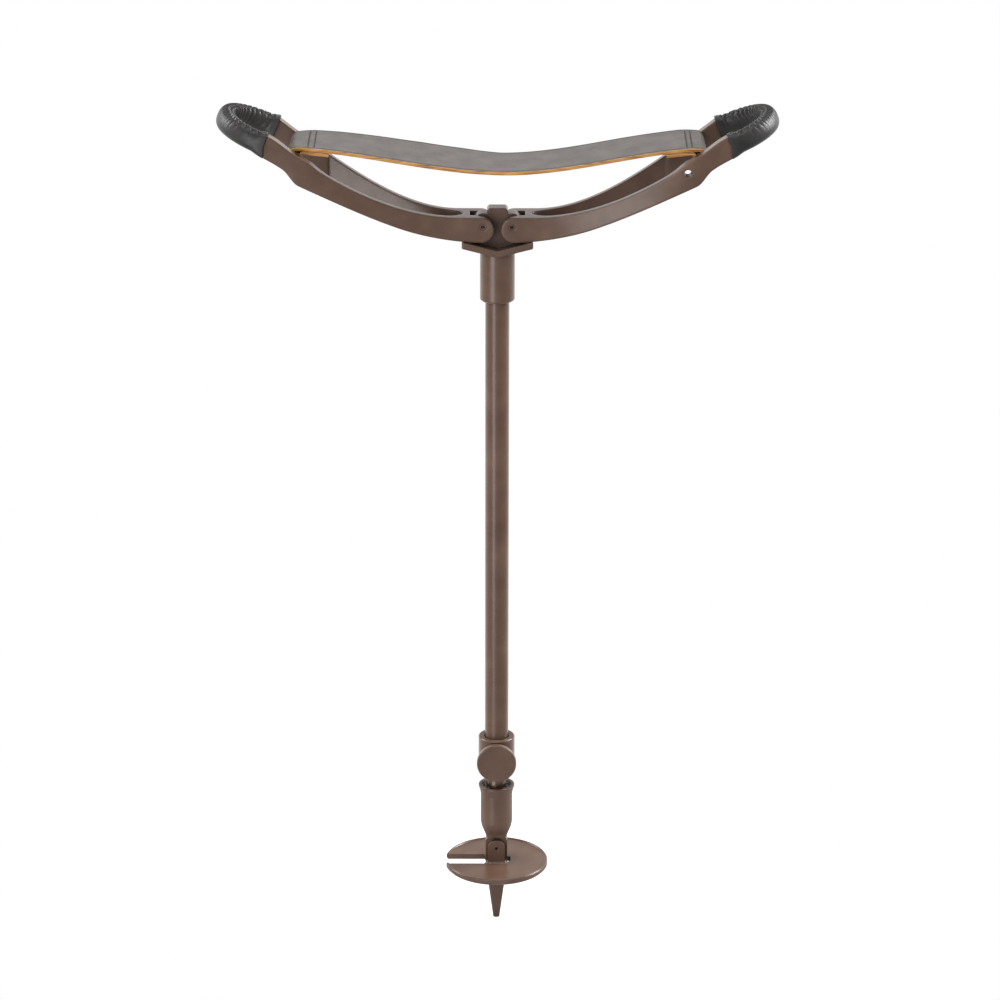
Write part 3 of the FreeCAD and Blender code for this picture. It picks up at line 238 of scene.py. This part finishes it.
def off_crease(tree, crease):
    """0 on a pressed line at a distance in mm from the middle, and 1 away from it."""
    across = add(tree, "ShaderNodeAttribute", attribute_name="across")
    distance = add(tree, "ShaderNodeMath", operation="ABSOLUTE")
    link(tree, across.outputs["Fac"], distance.inputs[0])
    off = add(tree, "ShaderNodeMath", operation="SUBTRACT")
    link(tree, distance.outputs["Value"], off.inputs[0])
    off.inputs[1].default_value = crease
    size = add(tree, "ShaderNodeMath", operation="ABSOLUTE")
    link(tree, off.outputs["Value"], size.inputs[0])
    groove = add(tree, "ShaderNodeMapRange", From_Min=0.0, From_Max=1.8, To_Min=0.0, To_Max=1.0)
    link(tree, size.outputs["Value"], groove.inputs["Value"])
    return groove.outputs["Result"]


def leather(name, dark, light, roughness, grain_scale, grain_depth, crease=None):
    """Grained leather; crease is the distance in mm of a dark pressed line from the middle."""
    material, tree, shader = new_material(name)
    colour = ramp(tree, noise(tree, 60.0, 6.0), [(0.32, dark), (0.70, light)])
    height = noise(tree, grain_scale, 4.0)
    normal = bump(tree, height, 0.55, grain_depth)
    normal = bump(tree, noise(tree, grain_scale / 7, 3.0), 0.35, grain_depth * 3, normal)
    if crease:
        flat = off_crease(tree, crease)
        pressed = tuple(share * PRESSED_SHADE for share in dark)
        colour = mix_colour(tree, flat, pressed, colour)
        normal = bump(tree, flat, 0.5, 0.0006, normal)
    link(tree, colour, shader.inputs["Base Color"])
    rough = spread(tree, noise(tree, grain_scale / 3, 3.0), roughness * 0.85, roughness * 1.2)
    link(tree, rough, shader.inputs["Roughness"])
    link(tree, normal, shader.inputs["Normal"])
    return material


RAW_LAYERS = [
    (0.30, linear(120, 72, 34)),
    (0.48, linear(196, 140, 76)),
    (0.72, linear(226, 176, 110)),
]


def raw_leather_edge():
    """The cut edge of the strap: tan fibres in fine layers, darker where it was waxed."""
    material, tree, shader = new_material("raw_leather_edge")
    layers = noise(tree, 1.0, 5.0, (60.0, 300.0, 1400.0))
    link(tree, ramp(tree, layers, RAW_LAYERS), shader.inputs["Base Color"])
    link(tree, bump(tree, layers, 0.6, 0.0006), shader.inputs["Normal"])
    shader.inputs["Roughness"].default_value = 0.75
    return material


def waxed_thread(name, dark, light):
    """Waxed thread with a fine twist."""
    material, tree, shader = new_material(name)
    fibre = noise(tree, 2600.0, 3.0)
    link(tree, ramp(tree, fibre, [(0.3, dark), (0.7, light)]), shader.inputs["Base Color"])
    link(tree, bump(tree, fibre, 0.5, 0.0002), shader.inputs["Normal"])
    shader.inputs["Roughness"].default_value = 0.55
    return material


cast_enamel = painted_metal("cast_enamel", edge_radius=0.0030)
enamel = painted_metal("turned_enamel", edge_radius=0.0011)
bright = bare_metal("drawn_tube", linear(150, 132, 120), roughness=0.34)
steel = bare_metal("pin_steel", linear(120, 108, 100), roughness=0.38)
plastic = plain_plastic()
strap_face = leather(
    "strap_leather",
    dark=linear(103, 98, 95),
    light=linear(119, 113, 109),
    roughness=0.50,
    grain_scale=1100.0,
    grain_depth=0.00022,
    crease=28.4,
)
strap_edge = raw_leather_edge()
grip_face = leather(
    "grip_leather",
    dark=linear(49, 47, 47),
    light=linear(63, 61, 60),
    roughness=0.40,
    grain_scale=1500.0,
    grain_depth=0.00010,
)
lace_thread = waxed_thread("lacing_thread", linear(64, 62, 61), linear(104, 101, 99))
seam_thread = waxed_thread("seam_thread", linear(48, 38, 34), linear(78, 64, 58))

NODE_MATERIALS = {
    "left_frame": cast_enamel,
    "right_frame": cast_enamel,
    "hub": cast_enamel,
    "inner_tube": bright,
    "inner_tube_plug": plastic,
    "shaft_bush": plastic,
    "clamp_pad": plastic,
    "clamp_screw": steel,
    "foot_pin": enamel,
    "left_hinge_pin": enamel,
    "right_hinge_pin": enamel,
    "left_strap_bar": steel,
    "right_strap_bar": steel,
}
for name, node in nodes.items():
    node.data.materials.clear()
    node.data.materials.append(NODE_MATERIALS.get(name, enamel))


# Mesh building


def add_mesh(name, points, faces, materials, slots=None, normals=None, across=None):
    """A smooth mesh object, with a material slot for each face where slots are given."""
    mesh = bpy.data.meshes.new(name)
    mesh.from_pydata([tuple(p) for p in points], [], [tuple(int(i) for i in f) for f in faces])
    mesh.polygons.foreach_set("use_smooth", [True] * len(faces))
    for material in materials:
        mesh.materials.append(material)
    if slots is not None:
        mesh.polygons.foreach_set("material_index", slots)
    if across is not None:
        attribute = mesh.attributes.new("across", "FLOAT", "POINT")
        attribute.data.foreach_set("value", np.asarray(across, np.float32))
    if normals is not None:
        mesh.normals_split_custom_set_from_vertices([tuple(n) for n in normals])
    mesh.update()
    item = bpy.data.objects.new(name, mesh)
    scene.collection.objects.link(item)
    return item


def loft_faces(rows, columns, closed_path=False):
    """Faces between neighbouring rings of points; with open ends, each end gets one face."""
    faces = []
    for row in range(rows if closed_path else rows - 1):
        following = (row + 1) % rows
        for column in range(columns):
            right = (column + 1) % columns
            faces.append(
                (
                    row * columns + column,
                    row * columns + right,
                    following * columns + right,
                    following * columns + column,
                )
            )
    if not closed_path:
        faces.append(tuple(reversed(range(columns))))
        faces.append(tuple((rows - 1) * columns + column for column in range(columns)))
    return faces


THREAD_SIDES = 8
THREAD_TIP = 0.55
THREAD_FIRST_SIDE = (0.3, 0.2, 0.9)


def thread_tube(name, runs, radius, material):
    """Round threads along one or more runs of points, in one mesh, thinner at their ends."""
    points, faces = [], []
    for run in runs:
        run = np.asarray(run, float)
        first = len(points)
        tangents = np.gradient(run, axis=0)
        tangents /= np.linalg.norm(tangents, axis=1)[:, None]
        side = np.cross(tangents[0], THREAD_FIRST_SIDE)
        count = len(run)
        for index, (place, tangent) in enumerate(zip(run, tangents)):
            side = side - tangent * (side @ tangent)
            side /= np.linalg.norm(side)
            other = np.cross(tangent, side)
            end = min(index, count - 1 - index)
            thin = THREAD_TIP if end == 0 else 1.0
            for step in range(THREAD_SIDES):
                angle = 2 * math.pi * step / THREAD_SIDES
                offset = side * math.cos(angle) + other * math.sin(angle)
                points.append(place + offset * radius * thin)
        faces += [tuple(first + i for i in face) for face in loft_faces(count, THREAD_SIDES)]
    return add_mesh(name, points, faces, [material])


def smooth_run(points, steps=4):
    """A finer run of points through the given ones."""
    points = np.asarray(points, float)
    padded = np.vstack([2 * points[0] - points[1], points, 2 * points[-1] - points[-2]])
    out = []
    for a, b, c, d in zip(padded, padded[1:], padded[2:], padded[3:]):
        for step in range(steps):
            t = step / steps
            out.append(
                0.5
                * (
                    2 * b
                    + (c - a) * t
                    + (2 * a - 5 * b + 4 * c - d) * t * t
                    + (3 * b - a - 3 * c + d) * t**3
                )
            )
    out.append(points[-1])
    return np.array(out)


# Grips: leather sewn round each bow, puckered along its laced seam. The bow starts to bend where
# along is 0; its straight legs lie before that and after pi times its radius.

BOW_SLOPE = math.radians(23.0)
BOW_CENTRE = (0.1964, 0.0822)
BOW_RADIUS = 0.038
SECTION_POWER = 2.3
END_SQUARENESS = 3
GRIP_HALF_WIDTH = 0.0071
GRIP_HALF_DEPTH = 0.0095
END_FLARE = 0.0015
SIDE_FLARE_SHARE = 0.3
FLARE_LENGTH = 0.009
LEATHER = 0.0016
LEAST_SKIN = 0.0003
FRONT_LEG = 0.0018
LOWER_HEM = 0.0030
REAR_LEG = 0.0098
SEAM_ANGLE = math.radians(101)
STITCH_PITCH = 0.0046
PLEAT_DEPTH = 0.0016
BEND_PLEAT_DEPTH = 0.0022
PLEAT_PITCH = 0.0042
PLEAT_CROWDING = 0.45
PLEAT_ROUNDING = 0.6
PLEAT_LEVEL = 0.6
PLEAT_FADE = 1.4
INNER_PLEAT_REACH = math.radians(85)
OUTER_PLEAT_REACH = math.radians(60)
GROOVE_DEPTH = 0.0012
GROOVE_REACH = math.radians(9)
PLEAT_WANDER = 1.6
WANDER_PLACES = 14
PLEAT_SHEAR = 1.1
LACE_RADIUS = 0.00042
LACE_LIFT = 0.0004
LACE_LEAN = math.radians(17)
GRIP_RINGS = 300
RING_POINTS = 72
GRIP_LENGTH = FRONT_LEG + math.pi * BOW_RADIUS + REAR_LEG


def bow_frame(along):
    """Centre, outward and upward directions of the bow at a distance from where it starts to bend.

    The frame's own axes are used: out from the stick, across, and up."""
    slope = np.array([math.cos(BOW_SLOPE), 0, math.sin(BOW_SLOPE)])
    upward = np.array([-math.sin(BOW_SLOPE), 0, math.cos(BOW_SLOPE)])
    centre = np.array([BOW_CENTRE[0], 0, BOW_CENTRE[1]])
    turn = min(max(along / BOW_RADIUS, 0.0), math.pi) - math.pi / 2
    outward = slope * math.cos(turn) + np.array([0, 1, 0]) * math.sin(turn)
    on_leg = max(-along, along - math.pi * BOW_RADIUS, 0.0)
    return centre + outward * BOW_RADIUS - slope * on_leg, outward, upward


def end_share(along):
    """1 at the two ends of the leather, falling to 0 a little way along it."""
    from_end = min(along + FRONT_LEG, math.pi * BOW_RADIUS + REAR_LEG - along)
    share = max(0.0, 1 - from_end / FLARE_LENGTH)
    return share * share * (3 - 2 * share)


def grip_section(angle, along, inset=0.0):
    """A point of the grip's section, outward and upward of its centre; it is squarer at its ends."""
    at_end = end_share(along)
    power = 2 / (SECTION_POWER + END_SQUARENESS * at_end)
    grow = END_FLARE * at_end - inset
    c, s = math.cos(angle), math.sin(angle)
    return (
        (GRIP_HALF_WIDTH + grow * SIDE_FLARE_SHARE) * math.copysign(abs(c) ** power, c),
        (GRIP_HALF_DEPTH + grow) * math.copysign(abs(s) ** power, s),
    )


def hem(along, upward):
    """How far the front end of the leather reaches in over the shoulder, along its underside."""
    inward = np.array([-math.cos(BOW_SLOPE), 0, -math.sin(BOW_SLOPE)])
    if along > BOW_RADIUS:
        return np.zeros(3)
    return inward * LOWER_HEM * end_share(along) * max(0.0, -upward / GRIP_HALF_DEPTH)


def pucker(along, angle, phase):
    """How far the leather stands out from its smooth section, in metres.

    The pleats are deepest and closest where the bow bends, and longer on its inner side."""
    from_seam = (angle - SEAM_ANGLE + math.pi) % (2 * math.pi) - math.pi
    reach = INNER_PLEAT_REACH if from_seam > 0 else OUTER_PLEAT_REACH
    arc = math.pi * BOW_RADIUS
    share = min(max(along / arc, 0.0), 1.0)
    bend = math.sin(share * math.pi)
    crowded = PLEAT_CROWDING * arc * math.sin(2 * math.pi * share) / (2 * math.pi)
    fade = math.exp(-((from_seam / reach) ** 2) * PLEAT_FADE)
    strength = (PLEAT_DEPTH + BEND_PLEAT_DEPTH * bend) * fade
    wave = abs(math.sin(math.pi * (along - crowded) / PLEAT_PITCH + phase)) ** PLEAT_ROUNDING
    groove = GROOVE_DEPTH * math.exp(-((from_seam / GROOVE_REACH) ** 2))
    return (strength * (wave - PLEAT_LEVEL) - groove) * (1 - end_share(along))


def to_row(side, place):
    """A point in the row's frame from out, across and rise at one frame's hinge pin."""
    return np.array([side * (PIVOT.x + place[0]), place[1], PIVOT.z + place[2]])


def grip_ring(side, row, wobble=None):
    """One ring of the leather: its outer side with pleats that wobble, or its plain inner side."""
    along = GRIP_LENGTH * row / (GRIP_RINGS - 1) - FRONT_LEG
    place, outward, upward = bow_frame(along)
    ring = []
    for column in range(RING_POINTS):
        angle = 2 * math.pi * column / RING_POINTS
        if wobble is None:
            x, y = grip_section(angle, along, LEATHER)
        else:
            phase = float(np.interp(row, np.linspace(0, GRIP_RINGS, len(wobble)), wobble))
            x, y = grip_section(angle, along)
            away = np.array([x, y]) / math.hypot(x, y)
            lift = pucker(along, angle, phase + PLEAT_SHEAR * math.sin(angle * 2.0))
            lift = max(lift, LEAST_SKIN - LEATHER)
            x, y = x + away[0] * lift, y + away[1] * lift
        ring.append(to_row(side, place + outward * x + upward * y + hem(along, y)))
    return ring


def make_grip(name, side):
    """The leather of one grip, out along its outer side and back along its inner side."""
    wobble = rng.uniform(-PLEAT_WANDER, PLEAT_WANDER, WANDER_PLACES)
    rings = [grip_ring(side, row, wobble) for row in range(GRIP_RINGS)]
    rings += [grip_ring(side, row) for row in reversed(range(GRIP_RINGS))]
    points = [point for ring in rings for point in ring]
    faces = loft_faces(2 * GRIP_RINGS, RING_POINTS, closed_path=True)
    if side < 0:
        faces = [tuple(reversed(face)) for face in faces]
    grip = add_mesh(f"{name}_grip_leather", points, faces, [grip_face])
    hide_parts(f"{name}_grip")
    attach(grip, f"{name}_half")


def make_lacing(name, side):
    """The zigzag lacing along the inner upper edge of one grip."""
    turns = []
    for number in range(int(GRIP_LENGTH / STITCH_PITCH * 2)):
        along = (number + 0.5) * STITCH_PITCH / 2 - FRONT_LEG
        place, outward, upward = bow_frame(along)
        lean = LACE_LEAN if number % 2 else -LACE_LEAN
        x, y = grip_section(SEAM_ANGLE + lean, along)
        away = np.array([x, y]) / math.hypot(x, y)
        x, y = x + away[0] * LACE_LIFT, y + away[1] * LACE_LIFT
        turns.append(to_row(side, place + outward * x + upward * y))
    lace = thread_tube(f"{name}_grip_lace", [smooth_run(turns)], LACE_RADIUS, lace_thread)
    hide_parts(f"{name}_grip_lacing")
    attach(lace, f"{name}_half")


SIDES = {"left": -1, "right": 1}
for name, side in SIDES.items():
    make_grip(name, side)
    make_lacing(name, side)


# Seat strap: one band, turned back round each bar and sewn, with its rear edge a little higher

STRAP_HALF_WIDTH = 0.031
STRAP_THICKNESS = 0.0033
EDGE_RADIUS = 0.0009
CUT_EDGE = 0.0006
BAR_GAP = 0.0004
LAP_GAP = 0.0001
LOOP_RADIUS = BAR_RADIUS + BAR_GAP + STRAP_THICKNESS / 2
LAP_INNER_END = 0.1505
LAP_JOIN = 0.1740
LOWEST_PLACE = 0.008
SAG = 0.0219
CREST_INSET = 0.006
CREST_SLOPE = math.radians(4)
BLEND_SPLIT = 0.060
LAP_STEPS = 8
LOOP_STEPS = 15
BAND_STEPS = 75
FACE_POINTS = 25

# Rise of the strap's rear edge above its front edge, at chosen places along X.
REAR_RISE = {
    -0.1795: 0.0,
    -0.1650: 0.0016,
    -0.1390: 0.0028,
    -0.1040: 0.0040,
    -0.0680: 0.0047,
    -0.0325: 0.0042,
    0.0030: 0.0020,
    0.0390: 0.0024,
    0.1100: 0.0026,
    0.1460: 0.0024,
    0.1650: 0.0026,
    0.1795: 0.0016,
}
TWIST_POWER = 1.3


def rear_lift(x, across):
    """Lift of a point of the strap above its front edge, where its rear edge is raised."""
    to_rear = max(0.0, (across + STRAP_HALF_WIDTH) / (2 * STRAP_HALF_WIDTH))
    return float(np.interp(x, list(REAR_RISE), list(REAR_RISE.values()))) * to_rear**TWIST_POWER


def top_height(x):
    """Height of the strap's upper face along its front edge."""
    crest_x = BAR.x - CREST_INSET
    crest_z = BAR.z + LOOP_RADIUS + STRAP_THICKNESS / 2
    if abs(x) >= crest_x:
        return crest_z
    side = -1 if x < LOWEST_PLACE else 1
    share = (side * crest_x - x) / (side * crest_x - LOWEST_PLACE)
    third = abs(side * crest_x - LOWEST_PLACE) / 3
    poles = (crest_z, crest_z - math.tan(CREST_SLOPE) * third, crest_z - SAG, crest_z - SAG)
    weights = ((1 - share) ** 3, 3 * (1 - share) ** 2 * share, 3 * (1 - share) * share**2, share**3)
    return sum(pole * weight for pole, weight in zip(poles, weights))


def half_route(side):
    """Middle of the strap's thickness on one side, from the sewn end round the bar to the centre.

    Each point has the share of the rear edge's rise that it takes."""
    route = []
    half = STRAP_THICKNESS / 2
    for share in np.linspace(0, 1, LAP_STEPS):
        x = LAP_INNER_END + (LAP_JOIN - LAP_INNER_END) * share
        route.append((x, top_height(side * x) - 3 * half - LAP_GAP, 1.0))
    bottom = BAR.z - LOOP_RADIUS
    joined = route[-1][1]
    for share in np.linspace(0, 1, LAP_STEPS)[1:-1]:
        ease = share * share * (3 - 2 * share)
        x = LAP_JOIN + (BAR.x - LAP_JOIN) * share
        route.append((x, joined + (bottom - joined) * ease, 1 - ease))
    for angle in np.linspace(-90, 90, LOOP_STEPS):
        turn = math.radians(angle)
        x = BAR.x + LOOP_RADIUS * math.cos(turn)
        route.append((x, BAR.z + LOOP_RADIUS * math.sin(turn), max(0.0, math.sin(turn))))
    for x in np.linspace(BAR.x, 0, BAND_STEPS + 1)[1:]:
        route.append((x, top_height(side * x) - half, 1.0))
    return [(side * x, z, share) for x, z, share in route]


def strap_ring():
    """The strap's cross-section as (across, up) points, with rounded edges."""
    half = STRAP_THICKNESS / 2
    flat = STRAP_HALF_WIDTH - EDGE_RADIUS
    low = half - EDGE_RADIUS
    ring = [(u, half) for u in np.linspace(-flat, flat, FACE_POINTS)]
    for centre_u, centre_v, start in ((flat, low, 90), (flat, -low, 0)):
        for step in (-30, -60, -90):
            angle = math.radians(start + step)
            ring.append(
                (centre_u + EDGE_RADIUS * math.cos(angle), centre_v + EDGE_RADIUS * math.sin(angle))
            )
        if start == 90:
            ring.append((STRAP_HALF_WIDTH, 0))
            ring.append((STRAP_HALF_WIDTH, -low))
    ring += [(-u, -v) for u, v in ring]
    return ring


def strap_grid():
    """All points of the strap, ring by ring from the left sewn end to the right one."""
    left = half_route(-1)
    right = half_route(1)
    route = left + right[-2::-1]
    middle = np.array([(x, z) for x, z, _ in route])
    tangent = np.gradient(middle, axis=0)
    tangent /= np.linalg.norm(tangent, axis=1)[:, None]
    turned_in = np.sign(tangent[len(left) - 1][0])
    normal = np.stack([-tangent[:, 1], tangent[:, 0]], axis=1) * turned_in
    ring = strap_ring()
    grid = np.zeros((len(route), len(ring), 3))
    for row, (x, z, share) in enumerate(route):
        for column, (u, v) in enumerate(ring):
            lift = share * rear_lift(x, u)
            grid[row, column] = (x + normal[row, 0] * v, u, z + normal[row, 1] * v + lift)
    return grid, ring, len(left)


def grid_normals(grid):
    """Vertex normals of a tube of rings, pointing out of it."""
    along = np.gradient(grid, axis=0)
    around = np.roll(grid, -1, axis=1) - np.roll(grid, 1, axis=1)
    normals = np.cross(around, along)
    return normals / np.linalg.norm(normals, axis=2)[:, :, None]


def make_strap():
    """The strap in four pieces, an inner and an outer one for each half."""
    grid, ring, left_count = strap_grid()
    normals = grid_normals(grid)
    rows, columns = len(grid), len(ring)
    face_middle = FACE_POINTS // 2
    centre = left_count - 1
    if normals[centre, face_middle, 2] < 0:
        normals = -normals
    side_face = []
    for column in range(columns):
        middle_u = (ring[column][0] + ring[(column + 1) % columns][0]) / 2
        side_face.append(abs(middle_u) > STRAP_HALF_WIDTH - CUT_EDGE)
    band_start = left_count - BAND_STEPS - 1
    split_left = band_start + round((BAR.x - BLEND_SPLIT) / BAR.x * BAND_STEPS)
    split_right = 2 * centre - split_left
    spans = {
        "left_strap_outer": (0, split_left),
        "left_strap_inner": (split_left, centre),
        "right_strap_inner": (centre, split_right),
        "right_strap_outer": (split_right, rows - 1),
    }
    made = {}
    for piece, (first, last) in spans.items():
        part = grid[first : last + 1]
        faces = loft_faces(len(part), columns)
        cut_end = int(piece.endswith("outer"))
        slots = [int(side_face[i % columns]) for i in range(len(faces) - 2)] + [cut_end] * 2
        made[piece] = add_mesh(
            piece,
            part.reshape(-1, 3),
            [tuple(reversed(face)) for face in faces],
            [strap_face, strap_edge],
            slots,
            normals[first : last + 1].reshape(-1, 3),
            np.tile([u * 1000 for u, _ in ring], len(part)),
        )
    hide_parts("seat_strap")
    return made


def strap_surface(x, across, lift):
    """A point above the strap's upper face."""
    return (x, across, top_height(x) + rear_lift(x, across) + lift)


SEAM_PLACES = {"left": (0.1635, 0.1690), "right": (0.1690, 0.1735)}
SEAM_PITCH = 0.0047
SEAM_FILL = 0.8
SEAM_MARGIN = 0.006
SEAM_ARCH = 0.0004
SEAM_SINK = 0.0003
SEAM_RADIUS = 0.00060
STITCH_SHARES = (0.0, 0.12, 0.3, 0.5, 0.7, 0.88, 1.0)


def make_seam(name):
    """Rows of stitches across the strap that hold its turned-back end."""
    runs = []
    count = int((2 * STRAP_HALF_WIDTH - SEAM_MARGIN) / SEAM_PITCH)
    for place in SEAM_PLACES[name]:
        for number in range(count):
            start = (number + (1 - SEAM_FILL) / 2 - count / 2) * SEAM_PITCH
            run = []
            for share in STITCH_SHARES:
                lift = SEAM_ARCH * math.sin(math.pi * share) ** 0.5 - SEAM_SINK
                across = start + share * SEAM_PITCH * SEAM_FILL
                run.append(strap_surface(SIDES[name] * place, across, lift))
            runs.append(run)
    seam = thread_tube(f"{name}_strap_seam", runs, SEAM_RADIUS, seam_thread)
    return seam


def bend_with(piece, name, start, end):
    """Bakes the piece's placement into its mesh."""
    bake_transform(piece)


# Pairs of values for each half's inner and outer pieces, given to bend_with.
INNER_BEND = (0.1066, 0.0)
OUTER_BEND = (0.1837, -0.0994)

strap = make_strap()
for name in SIDES:
    bend_with(strap[f"{name}_strap_inner"], name, *INNER_BEND)
    bend_with(strap[f"{name}_strap_outer"], name, *OUTER_BEND)
    bend_with(make_seam(name), name, *OUTER_BEND)


# Stage: camera, light, backdrop and floor

CAMERA_DISTANCE = 3.277
CAMERA_HEIGHT = 1.5578
CAMERA_PITCH = math.radians(19.9)
CAMERA_ROLL = math.radians(0.1)
CAMERA_FOCAL_PIXELS = 3752.5
SENSOR_WIDTH = 36.0
IMAGE_PIXELS = 1000.0
SHIFT_ACROSS = 3.0
SHIFT_UP = 0.525

camera_data = bpy.data.cameras.new("camera")
camera_data.sensor_width = SENSOR_WIDTH
camera_data.lens = SENSOR_WIDTH * CAMERA_FOCAL_PIXELS / IMAGE_PIXELS
camera_data.shift_x = SHIFT_ACROSS / IMAGE_PIXELS
camera_data.shift_y = SHIFT_UP / IMAGE_PIXELS
camera_data.clip_end = 50
camera = bpy.data.objects.new("camera", camera_data)
camera.location = (0, -CAMERA_DISTANCE, CAMERA_HEIGHT)
camera.rotation_mode = "ZYX"
camera.rotation_euler = (math.pi / 2 - CAMERA_PITCH, 0, CAMERA_ROLL)
scene.collection.objects.link(camera)
scene.camera = camera
scene.view_settings.view_transform = "Standard"


LIT_POINT = (0, 0, 0.5)


def area_light(name, place, width, height, power):
    """A rectangular soft light that faces the middle of the object."""
    data = bpy.data.lights.new(name, "AREA")
    data.shape = "RECTANGLE"
    data.size = width
    data.size_y = height
    data.energy = power
    lamp = bpy.data.objects.new(name, data)
    lamp.location = place
    facing = Vector(LIT_POINT) - Vector(place)
    lamp.rotation_euler = facing.to_track_quat("-Z", "Y").to_euler()
    scene.collection.objects.link(lamp)


area_light("front_box", (-1.7, -2.7, 0.5), width=1.3, height=3.2, power=46)
area_light("left_box", (-2.4, 0.7, 1.8), width=1.0, height=1.4, power=40)
area_light("right_box", (2.4, 0.6, 1.8), width=1.0, height=1.4, power=84)
area_light("top_box", (-0.2, -0.7, 3.2), width=1.2, height=0.9, power=16)


def studio_world(ambient, front, back):
    """A white backdrop all round for the camera, and the ambient strength for diffuse light.

    Reflections see it at the back strength low down behind the object, and dimmer elsewhere."""
    world = bpy.data.worlds.new("studio")
    scene.world = world
    world.use_nodes = True
    tree = world.node_tree
    background = tree.nodes["Background"]
    toward = add(tree, "ShaderNodeTexCoord")
    parts = add(tree, "ShaderNodeSeparateXYZ")
    link(tree, toward.outputs["Generated"], parts.inputs["Vector"])
    behind = add(tree, "ShaderNodeMapRange", From_Min=-0.1, From_Max=0.8, To_Min=front, To_Max=back)
    link(tree, parts.outputs["Y"], behind.inputs["Value"])
    low = add(tree, "ShaderNodeMapRange", From_Min=0.24, From_Max=0.42, To_Min=1.0, To_Max=0.2)
    link(tree, parts.outputs["Z"], low.inputs["Value"])
    seen = add(tree, "ShaderNodeMath", operation="MULTIPLY")
    link(tree, behind.outputs["Result"], seen.inputs[0])
    link(tree, low.outputs["Result"], seen.inputs[1])
    ray = add(tree, "ShaderNodeLightPath")
    mirrored = add(tree, "ShaderNodeMix", data_type="FLOAT", A=ambient)
    link(tree, ray.outputs["Is Glossy Ray"], mirrored.inputs["Factor"])
    link(tree, seen.outputs["Value"], mirrored.inputs["B"])
    strength = mirrored.outputs["Result"]
    for name in ("Is Camera Ray", "Is Transmission Ray"):
        most = add(tree, "ShaderNodeMath", operation="MAXIMUM")
        link(tree, ray.outputs[name], most.inputs[0])
        link(tree, strength, most.inputs[1])
        strength = most.outputs["Value"]
    background.inputs["Color"].default_value = (1, 1, 1, 1)
    link(tree, strength, background.inputs["Strength"])


studio_world(ambient=0.54, front=0.22, back=1.2)

FLOOR_CORNERS = 96
FLOOR_GREY = 0.35
FLOOR_GAP = 0.0005


def pale_floor(radius, height, glow):
    """A round floor under the spike that looks white, keeps the shadow and is clear from below."""
    points = []
    for step in range(FLOOR_CORNERS):
        angle = 2 * math.pi * step / FLOOR_CORNERS
        points.append((radius * math.cos(angle), radius * math.sin(angle), height))
    material, tree, shader = new_material("pale_floor")
    shader.inputs["Base Color"].default_value = (FLOOR_GREY, FLOOR_GREY, FLOOR_GREY, 1)
    shader.inputs["Roughness"].default_value = 0.9
    shader.inputs["Emission Color"].default_value = (1, 1, 1, 1)
    ray = add(tree, "ShaderNodeLightPath")
    link(tree, spread(tree, ray.outputs["Is Camera Ray"], 0.0, glow), shader.inputs["Emission Strength"])
    clear = add(tree, "ShaderNodeBsdfTransparent")
    place = add(tree, "ShaderNodeNewGeometry")
    either = add(tree, "ShaderNodeMixShader")
    link(tree, place.outputs["Backfacing"], either.inputs[0])
    link(tree, shader.outputs["BSDF"], either.inputs[1])
    link(tree, clear.outputs["BSDF"], either.inputs[2])
    link(tree, either.outputs["Shader"], tree.nodes["Material Output"].inputs["Surface"])
    floor = add_mesh("pale_floor", points, [range(FLOOR_CORNERS)], [material])


pale_floor(radius=0.30, height=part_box("spike")[0][2] - FLOOR_GAP, glow=0.82)
